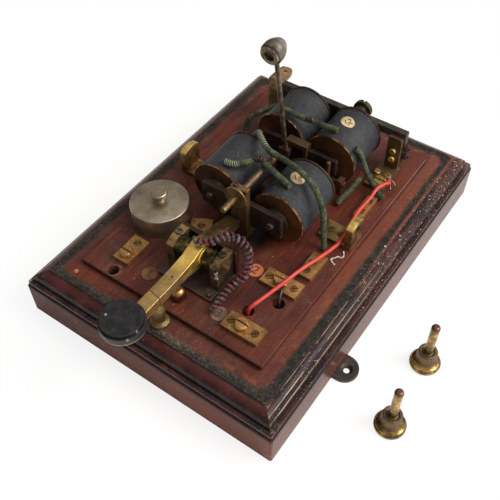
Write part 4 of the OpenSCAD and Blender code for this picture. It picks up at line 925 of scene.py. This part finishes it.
def ebonite():
    """Black hard rubber, dusty, with three pale chips where it has been knocked."""
    material, place = new_finish("knob_ebonite")
    dust = place.noise(210, 6, 0.75).mask(0.44, 0.70)
    colour = (dust * 0.7).mix((0.006, 0.006, 0.0065), (0.034, 0.029, 0.027))
    speck = (1 - place.spots(330).mask(0.05, 0.10)) * place.noise(60, 2).mask(0.45, 0.6)
    colour = (speck * 0.5).mix(colour, (0.10, 0.095, 0.085))
    for chip in ((-0.0092, -0.1472, 0.0763), (0.0108, -0.1520, 0.0730), (0.0123, -0.1452, 0.0745)):
        nick = 1 - (place.far_from(chip) + place.noise(900, 3) * 0.0012).mask(0.0011, 0.0017)
        colour = (nick * 0.8).mix(colour, (0.30, 0.29, 0.25))
    relief = (place.noise(700, 4) * 0.6 + dust * 0.4).bump(0.25, 0.0002)
    return lay_on(material, Base_Color=colour, Roughness=dust * 0.2 + 0.36, Normal=relief,
                  Specular_IOR_Level=0.35)


knob_low, knob_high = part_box("key_knob")
KNOB_X, KNOB_Y = (knob_low[0] + knob_high[0]) / 2, (knob_low[1] + knob_high[1]) / 2
KNOB_RADIUS, KNOB_DEPTH, KNOB_MIDDLE = 0.0142, 0.0044, 0.0715
LIP_WIDTH, LIP_DEPTH, GROOVE_WIDTH, DISH_RISE, DISH_FLARE = 0.0016, 0.0008, 0.0003, 0.0010, 1.03
knob = blank("key_knob_turned", 96, KNOB_RADIUS, KNOB_DEPTH, (KNOB_X, KNOB_Y, KNOB_MIDDLE))
pick_outer_face(knob, 2)
bpy.ops.mesh.inset(thickness=LIP_WIDTH)
pull((0, 0, -LIP_DEPTH))
bpy.ops.mesh.inset(thickness=GROOVE_WIDTH)
pull((0, 0, DISH_RISE))
pull((0, 0, 0))
bpy.ops.transform.resize(value=(DISH_FLARE, DISH_FLARE, 1))
dish_top = KNOB_MIDDLE + KNOB_DEPTH / 2 - LIP_DEPTH + DISH_RISE
pull((0, 0, knob_high[2] - dish_top))
bpy.ops.object.mode_set(mode="OBJECT")
dress(round_edges(knob, 0.0007, 3), ebonite(), body_of("key_knob"), "ebonite", "key_knob")
SKIRT_RADIUS, SKIRT_DEPTH = 0.0138, 0.0018
skirt_place = (KNOB_X, KNOB_Y, knob_low[2] + SKIRT_DEPTH / 2)
skirt = blank("key_knob_skirt", 96, SKIRT_RADIUS, SKIRT_DEPTH, skirt_place)
skirt_finish = aged_brass("skirt_brass", (0.40, 0.31, 0.17), (0.22, 0.17, 0.09), 0.6, 0.45, 0.4)
dress(round_edges(skirt, 0.0003), skirt_finish, body_of("key_knob"), "ebonite")


# Protector: a flat brass puck on the panel, under a turned cap of plated brass that lifts
# off it. The plating is worn to a warm satin, with fine turning lines.
def worn_nickel():
    """Warm satin plating, with dull blots and lines round the cap's middle."""
    material, place = new_finish("worn_nickel")
    centred = place.node("Mapping", None, {"Vector": place, "Location": (0.054, 0.048, 0)})
    out = centred.part("X").span(centred.part("Y"))
    haze = place.noise(70, 5, 0.65)
    colour = haze.mask(0.35, 0.68).mix((0.275, 0.220, 0.155), (0.465, 0.388, 0.288))
    blots = place.noise(260, 4, 0.7).mask(0.62, 0.72)
    colour = (blots * 0.5).mix(colour, (0.14, 0.105, 0.07))
    turned = out.node("TexNoise", {"noise_dimensions": "1D"}, {"W": out, "Scale": 5200, "Detail": 2})
    relief = (turned * 0.5 + place.noise(1200, 2) * 0.5).bump(0.12, 0.00012)
    return lay_on(material, Base_Color=colour, Metallic=0.96, Roughness=haze * 0.18 + 0.31, Normal=relief)


remade("protector_cap", worn_nickel(), "nickel", 0.0004, 3)
puck_finish = aged_brass("puck_brass", (0.52, 0.33, 0.115), (0.16, 0.095, 0.042), 0.5, 0.32)
remade("protector_base", puck_finish, "brass", 0.0004)


# Terminals: small brass plates screwed to the panel, three of them with a large slotted
# clamp screw between their level screws, and round fibre discs, here with plain numbers.
plate_finish = aged_brass("plate_brass", (0.64, 0.35, 0.12), (0.22, 0.112, 0.045), 0.62, 0.38)
for node in ("terminal_plates", "back_contact"):
    remade(node, plate_finish, "brass")
remade("terminal_small_screws", screw_finish, "brass", 0.00015, 1)
clamp_finish = aged_brass("clamp_brass", (0.78, 0.44, 0.16), (0.25, 0.13, 0.055), 0.62, 0.28, 0.35)
remade("terminal_clamp_screws", clamp_finish, "brass", 0.0004, 3)


def fibre(name, tone, worn):
    """Dyed pressed fibre, paler where it is worn."""
    material, place = new_finish(name)
    patch = place.noise(210, 5, 0.65)
    colour = patch.mask(0.4, 0.62).mix(tone, worn)
    relief = place.noise(900, 3).bump(0.2, 0.0001)
    return lay_on(material, Base_Color=colour, Roughness=patch * 0.2 + 0.5, Normal=relief,
                  Specular_IOR_Level=0.2)


DISC_RADIUS, DISC_DEPTH, DISC_MIDDLE = 0.0055, 0.0006, 0.0433
NUMBER_SIZE, NUMBER_HALF_THICK, NUMBER_HEIGHT = 0.0092, 0.00006, 0.04362
number_ink = lay_on(new_finish("number_ink")[0], Base_Color=(0.035, 0.018, 0.012), Roughness=0.6)
for name, number, at, tone, worn in (
        ("disc_left", "1", (-0.0275, -0.0927), (0.100, 0.044, 0.018), (0.205, 0.090, 0.036)),
        ("disc_middle", "2", (0.0278, -0.0510), (0.34, 0.085, 0.034), (0.46, 0.145, 0.065)),
        ("disc_right", "3", (0.0286, -0.0924), (0.105, 0.060, 0.042), (0.18, 0.110, 0.080))):
    disc = round_edges(blank(name, 48, DISC_RADIUS, DISC_DEPTH, (*at, DISC_MIDDLE)), 0.0002)
    dress(disc, fibre(name + "_fibre", tone, worn), "base", "fibre")
    digits = plain_number(name + "_number", number, NUMBER_SIZE, NUMBER_HALF_THICK)
    digits.data.transform(Matrix.Translation((*at, NUMBER_HEIGHT)))
    dress(digits, number_ink, "base", "fibre")
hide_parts("number_discs")


# Wires: sage cotton-covered leads join the coils, a red and a black wire come up through the
# panel, and a curled pigtail of grey and red braid runs from the key to its terminal.
def smooth_route(points, per_span=10):
    """A smooth curve through given points, in millimetres, as a list of vectors."""
    points = [Vector(p) for p in points]
    line = []
    for i in range(len(points) - 1):
        p0, p1 = points[max(i - 1, 0)], points[i]
        p2, p3 = points[i + 1], points[min(i + 2, len(points) - 1)]
        for k in range(per_span):
            t = k / per_span
            line.append(0.5 * (2 * p1 + (p2 - p0) * t + (2 * p0 - 5 * p1 + 4 * p2 - p3) * t ** 2
                               + (3 * p1 - p0 - 3 * p2 + p3) * t ** 3))
    return line + [points[-1]]


def even_route(line, step):
    """The same curve at even steps of length."""
    runs = [0.0]
    for a, b in zip(line, line[1:]):
        runs.append(runs[-1] + (b - a).length)
    count = max(2, round(runs[-1] / step))
    out, i = [], 0
    for k in range(count + 1):
        s = runs[-1] * k / count
        while i < len(runs) - 2 and runs[i + 1] < s:
            i += 1
        part = (s - runs[i]) / max(runs[i + 1] - runs[i], 1e-9)
        out.append(line[i].lerp(line[i + 1], min(part, 1)))
    return out


def headings(line):
    """The direction of a curve at each of its points."""
    befores, afters = [line[0], *line[:-1]], [*line[1:], line[-1]]
    return [(after - before).normalized() for before, after in zip(befores, afters)]


def sides_along(heads):
    """A side direction carried along the curve without twist."""
    first = Vector((0, 0, 1)) if abs(heads[0].z) < 0.8 else Vector((1, 0, 0))
    sides = []
    for head in heads:
        first = (first - first.dot(head) * head).normalized()
        sides.append(first.copy())
    return sides


MM = 0.001


def covered_wire(name, line, radius, around, ridge=0.0, pitch=1.4, starts=1):
    """A tube along a curve in millimetres; ridge and pitch press the thread's turns into it.
    The turn attribute counts the turns of its thread, for the colours."""
    heads = headings(line)
    sides = sides_along(heads)
    verts, turns = [], []
    run = 0.0
    for i, (point, head, side) in enumerate(zip(line, heads, sides)):
        if i:
            run += (point - line[i - 1]).length
        other = head.cross(side)
        for k in range(around):
            angle = 2 * math.pi * k / around
            turn = run / pitch - starts * k / around
            out = radius - ridge * (0.5 + 0.5 * math.cos(2 * math.pi * turn)) ** 3
            verts.append((point + out * (math.cos(angle) * side + math.sin(angle) * other)) * MM)
            turns.append((run, k / around, turn))
    faces = [(i * around + k, i * around + (k + 1) % around, (i + 1) * around + (k + 1) % around,
              (i + 1) * around + k) for i in range(len(line) - 1) for k in range(around)]
    faces.append(tuple(reversed(range(around))))
    faces.append(tuple(range((len(line) - 1) * around, len(line) * around)))
    mesh = bpy.data.meshes.new(name)
    mesh.from_pydata(verts, [], faces)
    mark = mesh.attributes.new("turn", "FLOAT_VECTOR", "POINT")
    for item, value in zip(mark.data, turns):
        item.vector = value
    mesh.polygons.foreach_set("use_smooth", [len(p.vertices) == 4 for p in mesh.polygons])
    piece = bpy.data.objects.new(name, mesh)
    scene.collection.objects.link(piece)
    return piece


def cotton(name, opened=0.0):
    """Grimy sage cotton over wire. Along the first opened millimetres the thread has spread,
    and its pale turns stand apart."""
    material, place = new_finish(name)
    turn = place.node("Attribute", {"attribute_name": "turn"}, out=1)
    run, wound = turn.part("X"), turn.part("Z")
    patch = place.noise(150, 5, 0.7)
    colour = patch.ramp(
        (0.34, (0.018, 0.024, 0.014)), (0.47, (0.042, 0.052, 0.028)), (0.60, (0.085, 0.094, 0.052)),
        (0.74, (0.170, 0.165, 0.098)))
    thread = wound.node("Math", {"operation": "WRAP"}, {0: wound, 1: 1.0, 2: 0.0})
    gap = (thread - 0.5).size().mask(0.34, 0.5)
    colour = (gap * 0.5).mix(colour, (0.012, 0.018, 0.011))
    grime = place.noise(520, 4, 0.7)
    colour = (grime.mask(0.57, 0.66) * 0.7).mix(colour, (0.020, 0.019, 0.013))
    colour = ((1 - grime.mask(0.34, 0.41)) * 0.55).mix(colour, (0.20, 0.21, 0.155))
    if opened:
        spread = 1 - run.mask(opened * 0.75, opened)
        pale = (thread - 0.5).size().mask(0.20, 0.28).mix((0.26, 0.29, 0.19), (0.006, 0.008, 0.005))
        colour = spread.mix(colour, pale)
    fuzz = (place.noise(2500, 2) * 0.6 + grime * 0.4).bump(0.6, 0.00014)
    return lay_on(material, Base_Color=colour, Roughness=0.88, Normal=fuzz, Specular_IOR_Level=0.15)


LEAD_RADIUS, LEAD_SIDES, LEAD_RIDGE, LEAD_STEP = 2.1, 20, 0.22, 0.2
lead_routes = (
    ((-38.9, 75.7, 66), (-43.3, 71.7, 64), (-48.5, 67.2, 61.5), (-53, 63.3, 58), (-56.8, 60.7, 52),
     (-57, 57.4, 44)),
    ((-18.6, 49.1, 88.4), (-16.4, 50.7, 88.2), (-5.4, 52, 86.4), (3.8, 53.1, 86), (14.1, 53.7, 86),
     (23.8, 54.5, 86.1)),
    ((-21.9, -14.4, 86.1), (-16.5, -14, 86.4), (-12.1, -11, 86.5), (-8.5, -7, 86.8), (-5.4, -3.3, 87.5),
     (-2.5, -1.7, 88.1), (3.6, -3.6, 88.2), (9.3, -5, 87.6), (15.8, -6.6, 86.7), (21.6, -8.2, 86.2),
     (26.4, -9.7, 86.1)),
    ((-24.5, 23.6, 80), (-20.8, 23.3, 84.8), (-15.5, 17.6, 87.9), (-2.2, 8.1, 89.6), (13, 4.7, 90.6),
     (26.1, 2.4, 90), (37.3, -0.6, 87), (45.2, -4.4, 82), (50.3, -6.7, 74), (52.2, -7.7, 62),
     (54.3, -9.3, 51), (56.1, -10.7, 44.1)),
    ((39.8, 52.7, 79), (42.7, 53.7, 76), (45.4, 54.7, 69), (48, 56.3, 61), (52, 56.8, 53.5),
     (60.6, 53.4, 48.8), (66.2, 51.9, 45.4)),
    ((41.8, 29.6, 45.4), (43.1, 34.1, 48), (45.4, 40.5, 52), (46.7, 46.9, 55.4), (47.4, 50.7, 56.6)))
cotton_finish = cotton("green_cotton")
lead_coats = [(cotton_finish, 1.3)] * len(lead_routes)
lead_coats[2] = (cotton("spread_cotton_short", 11), 1.3)
lead_coats[3] = (cotton("spread_cotton_long", 34), 2.2)
for i, (route, (finish, pitch)) in enumerate(zip(lead_routes, lead_coats)):
    line = even_route(smooth_route(route), LEAD_STEP)
    lead = covered_wire(f"lead_{i + 1}", line, LEAD_RADIUS, LEAD_SIDES, LEAD_RIDGE, pitch)
    dress(lead, finish, "base", "green_lead")
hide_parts("coil_leads")


def copper_ends():
    """Dark old copper, rubbed on its high spots."""
    material, place = new_finish("copper_ends")
    patch = place.noise(500, 4, 0.65)
    colour = patch.ramp(
        (0.38, (0.014, 0.007, 0.006)), (0.54, (0.050, 0.022, 0.018)), (0.68, (0.15, 0.075, 0.055)))
    return lay_on(material, Base_Color=colour, Metallic=0.4, Roughness=0.55, Normal=patch.bump(0.4, 0.0002))


def twisted(name, line, strand, lay, finish):
    """Two strands twisted together along a curve, lay millimetres to a turn."""
    heads = headings(line)
    sides = sides_along(heads)
    step = (line[1] - line[0]).length
    for k in range(2):
        path = []
        for i, (point, head, side) in enumerate(zip(line, heads, sides)):
            angle = 2 * math.pi * (i * step / lay + k / 2)
            path.append(point + strand * (math.cos(angle) * side + math.sin(angle) * head.cross(side)))
        dress(covered_wire(f"{name}_{k + 1}", path, strand, 10), finish, "base", "green_lead")


copper_end_finish = copper_ends()
tube_joint_route = ((-4.9, -3.4, 88.4), (-3.2, -2.2, 89.3), (-1.0, -2.0, 89.7), (1.2, -2.7, 89.0))
tube_joint = even_route(smooth_route(tube_joint_route), 0.2)
twisted("tube_joint", tube_joint, strand=1.2, lay=4.4, finish=copper_end_finish)
rear_joint_route = ((0.6, 52.7, 87.0), (2.6, 52.9, 87.1), (5.2, 53.2, 87.1))
rear_joint = even_route(smooth_route(rear_joint_route), 0.2)
twisted("rear_joint", rear_joint, strand=1.1, lay=3.2, finish=copper_end_finish)


def plastic(name, tone, rough):
    """Smooth wire covering, a little darker in patches."""
    material, place = new_finish(name)
    colour = place.noise(300, 3).mask(0.45, 0.75).mix(tone, tuple(c * 0.7 for c in tone))
    return lay_on(material, Base_Color=colour, Roughness=rough)


RED_RADIUS, BLACK_RADIUS, WIRE_STEP, STRAND_RADIUS, STRAND_STEP = 1.3, 1.0, 0.9, 0.28, 0.3
red_route = ((61.6, 69.2, 47.4), (63.4, 64.5, 49.6), (62.4, 59.3, 51.9), (60.6, 51.9, 52.6),
             (60.2, 43.5, 50.4), (59.6, 32.7, 49.8), (60, 22.5, 49.6), (62.4, 0.7, 48),
             (61.4, -10.2, 48.2), (58.9, -24.9, 50.6), (55.4, -36.7, 50.8), (53, -48.9, 51.4),
             (49.2, -61.7, 49.4), (46.2, -72.3, 48.6), (43.8, -78.5, 46.6), (42.5, -80.1, 42),
             (42.5, -80.1, 33))
black_route = ((55.4, -64.5, 34), (55.4, -64.5, 42), (54.8, -62.9, 45.6), (53.6, -59.7, 47.8),
               (52.8, -56.7, 48), (52.6, -53.7, 47.2))
red_line = even_route(smooth_route(red_route), WIRE_STEP)
red_wire = covered_wire("red_wire_finished", red_line, RED_RADIUS, 16)
dress(red_wire, plastic("red_plastic", (0.52, 0.040, 0.026), 0.48), "base", "red_wire", "red_wire")
black_line = even_route(smooth_route(black_route), WIRE_STEP)
black_wire = covered_wire("black_wire_finished", black_line, BLACK_RADIUS, 12)
dress(black_wire, plastic("black_plastic", (0.014, 0.013, 0.014), 0.4), "base", "black_wire", "black_wire")

strand_material, strand_place = new_finish("bare_strands")
strand_tone = strand_place.noise(900, 3, 0.6).mask(0.38, 0.62).mix((0.10, 0.075, 0.055), (0.42, 0.38, 0.33))
lay_on(strand_material, Base_Color=strand_tone, Metallic=0.7, Roughness=0.4)
strand_routes = (
    ((61.7, 68.9, 47.6), (60.9, 70.0, 48.4), (59.6, 70.6, 48.6), (58.2, 70.4, 48.3)),
    ((61.5, 69.3, 47.7), (61.4, 71.2, 48.3), (60.2, 72.8, 48.6), (58.8, 73.4, 48.4)),
    ((61.8, 69.1, 47.5), (63.2, 70.0, 47.6), (65.2, 69.8, 46.6), (67.2, 69.0, 44.9)),
    ((61.8, 69.0, 47.2), (63.0, 68.2, 47.0), (64.6, 66.4, 45.8), (65.8, 64.6, 44.2)))
for i, route in enumerate(strand_routes):
    line = even_route(smooth_route(route), STRAND_STEP)
    strand = covered_wire(f"bare_strand_{i + 1}", line, STRAND_RADIUS, 8)
    dress(strand, strand_material, "base", "red_wire")

scrap_material, scrap_place = new_finish("cream_thread")
scrap_tone = scrap_place.noise(700, 4, 0.7).mask(0.36, 0.62).mix((0.26, 0.20, 0.15), (0.72, 0.66, 0.56))
scrap_fuzz = scrap_place.noise(2500, 2).bump(0.6, 0.0001)
lay_on(scrap_material, Base_Color=scrap_tone, Roughness=0.9, Normal=scrap_fuzz)
scrap_route = ((68.2, -17.2, 43.25), (66.1, -16.6, 43.3), (64.0, -15.2, 43.4), (64.5, -13.3, 43.6),
               (65.7, -12.4, 43.7), (66.3, -10.7, 43.7), (68.1, -10.2, 43.5), (69.4, -9.2, 43.5),
               (69.1, -7.0, 43.6), (67.3, -4.4, 43.5))
scrap = even_route(smooth_route(scrap_route), 0.25)
twisted("thread_scrap", scrap, strand=0.30, lay=2.6, finish=scrap_material)

pigtail_route = ((-1.5, -74.5, 76.6), (4.6, -71.9, 77), (9.6, -67.9, 77.4), (12.6, -61.7, 77),
                 (17.2, -57.6, 75.6), (22.6, -56.3, 71.6), (26.2, -56.7, 65.6), (28.4, -59.3, 59.6),
                 (29, -64.3, 54.4), (27.6, -69.9, 51.4), (25.4, -75.7, 49.6), (24.6, -81.9, 48.4),
                 (24.8, -88.3, 47.4), (25.4, -94.9, 46.9))
CURLS, CURL_STEPS, BRAID_RADIUS, BRAID_RIDGE, BRAID_PITCH, BRAID_END = 25, 26, 1.14, 0.20, 1.9, 1.9
# How far the braid curls out from its middle line: wider over the first quarter, narrower
# again over the last third.
REACH, REACH_GAIN, REACH_LOSS, OPEN_BY, CLOSE_FROM = 1.15, 1.15, 0.9, 0.28, 0.66
core = even_route(smooth_route(pigtail_route, 8), 1.0)
total = sum((b - a).length for a, b in zip(core, core[1:]))
core = even_route(core, total / (CURLS * CURL_STEPS))
core_heads = headings(core)
core_sides = sides_along(core_heads)
curls = []
for i, (point, head, side) in enumerate(zip(core, core_heads, core_sides)):
    angle = 2 * math.pi * i / CURL_STEPS
    share = i / (len(core) - 1)
    reach = REACH + REACH_GAIN * min(1, share / OPEN_BY)
    reach -= REACH_LOSS * max(0, share - CLOSE_FROM) / (1 - CLOSE_FROM)
    reach *= 1 + 0.16 * math.sin(angle * 0.37) + 0.12 * math.sin(angle * 0.83 + 1)
    curls.append(point + reach * (math.cos(angle) * side + math.sin(angle) * head.cross(side)))
first = (curls[0] - curls[1]).normalized()
after = (curls[-1] - curls[-2]).normalized()
curls = [curls[0] + BRAID_END * first] + curls + [curls[-1] + BRAID_END * after]


def braid():
    """Fuzzy cotton braid, grey in some stretches and red in others, with grime in it."""
    material, place = new_finish("grey_and_red_braid")
    turn = place.node("Attribute", {"attribute_name": "turn"}, out=1)
    blotch = turn.stretched(0.30, 1.0, 0).noise(1.0, 3, 0.7)
    patch = place.noise(420, 4, 0.7)
    grey = patch.ramp(
        (0.34, (0.024, 0.026, 0.024)), (0.52, (0.070, 0.075, 0.071)), (0.68, (0.150, 0.155, 0.148)))
    red = patch.ramp(
        (0.34, (0.040, 0.009, 0.012)), (0.56, (0.135, 0.024, 0.032)), (0.7, (0.24, 0.062, 0.072)))
    colour = blotch.mask(0.48, 0.52).mix(grey, red)
    colour = (place.noise(180, 3).mask(0.56, 0.68) * 0.6).mix(colour, (0.024, 0.022, 0.018))
    fuzz = (place.noise(2600, 2) * 0.5 + patch * 0.5).bump(0.8, 0.0002)
    return lay_on(material, Base_Color=colour, Roughness=0.9, Normal=fuzz, Specular_IOR_Level=0.15)


pigtail = covered_wire("pigtail_finished", curls, BRAID_RADIUS, 12, BRAID_RIDGE, BRAID_PITCH, 2)
dress(pigtail, braid(), "base", "braided_wire", "pigtail")


# Cover screws: turned brass thumb screws with a waisted head and a long plain pin. They
# normally hold the cover; here they stand on their heads beside the base.
def thumb_brass():
    """Golden where fingers turn it, dull in the waist, and brown at the pin's tip."""
    material, place = new_finish("thumb_screw_brass")
    z = place.part("Z")
    patch = place.noise(120, 5, 0.65)
    colour = (patch * 0.7 + place.noise(700, 4, 0.6) * 0.3).ramp(
        (0.40, (0.085, 0.052, 0.024)), (0.52, (0.27, 0.165, 0.055)), (0.66, (0.66, 0.42, 0.13)))
    waist = z.mask(0.0050, 0.0064) * (1 - z.mask(0.0152, 0.0190))
    colour = (waist * 0.75).mix(colour, (0.105, 0.078, 0.054))
    tip = z.mask(0.0380, 0.0410)
    colour = (tip * 0.9).mix(colour, (0.13, 0.062, 0.044))
    rough = patch * 0.15 + waist * 0.16 + tip * 0.15 + 0.19
    return lay_on(material, Base_Color=colour, Metallic=0.95, Roughness=rough, Normal=patch.bump(0.12, 0.00012))


# Half widths and heights of the turned form, in millimetres from the table up.
THUMB_PROFILE = (
    (9.3, 0), (10.2, 0.9), (10.2, 2.9), (9.4, 3.7), (9.3, 4.2), (7.6, 5.1), (6.2, 6.6), (5.3, 8.6),
    (5.1, 10.4), (5.7, 11.2), (6.4, 11.8), (6.4, 14.3), (5.8, 15.1), (4.2, 15.0), (3.4, 14.4),
    (2.85, 14.6), (2.85, 41.4), (2.4, 42.4), (1.4, 43.0))
thumb_finish = thumb_brass()
for node in ("cover_screw_a", "cover_screw_b"):
    low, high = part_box(node)
    middle = ((low[0] + high[0]) / 2, (low[1] + high[1]) / 2)
    (width, _), (next_width, rise) = THUMB_PROFILE[:2]
    screw = blank(node + "_turned", 72, width * MM, rise * MM, (*middle, rise * MM / 2))
    pick_outer_face(screw, 2)
    bpy.ops.transform.resize(value=(next_width / width, next_width / width, 1))
    for (width, height), (next_width, next_height) in zip(THUMB_PROFILE[1:], THUMB_PROFILE[2:]):
        pull((0, 0, (next_height - height) * MM))
        bpy.ops.transform.resize(value=(next_width / width, next_width / width, 1))
    bpy.ops.object.mode_set(mode="OBJECT")
    dress(round_edges(screw, 0.0002, 2, 24), thumb_finish, body_of(node), "brass", node)

bpy.context.view_layer.update()
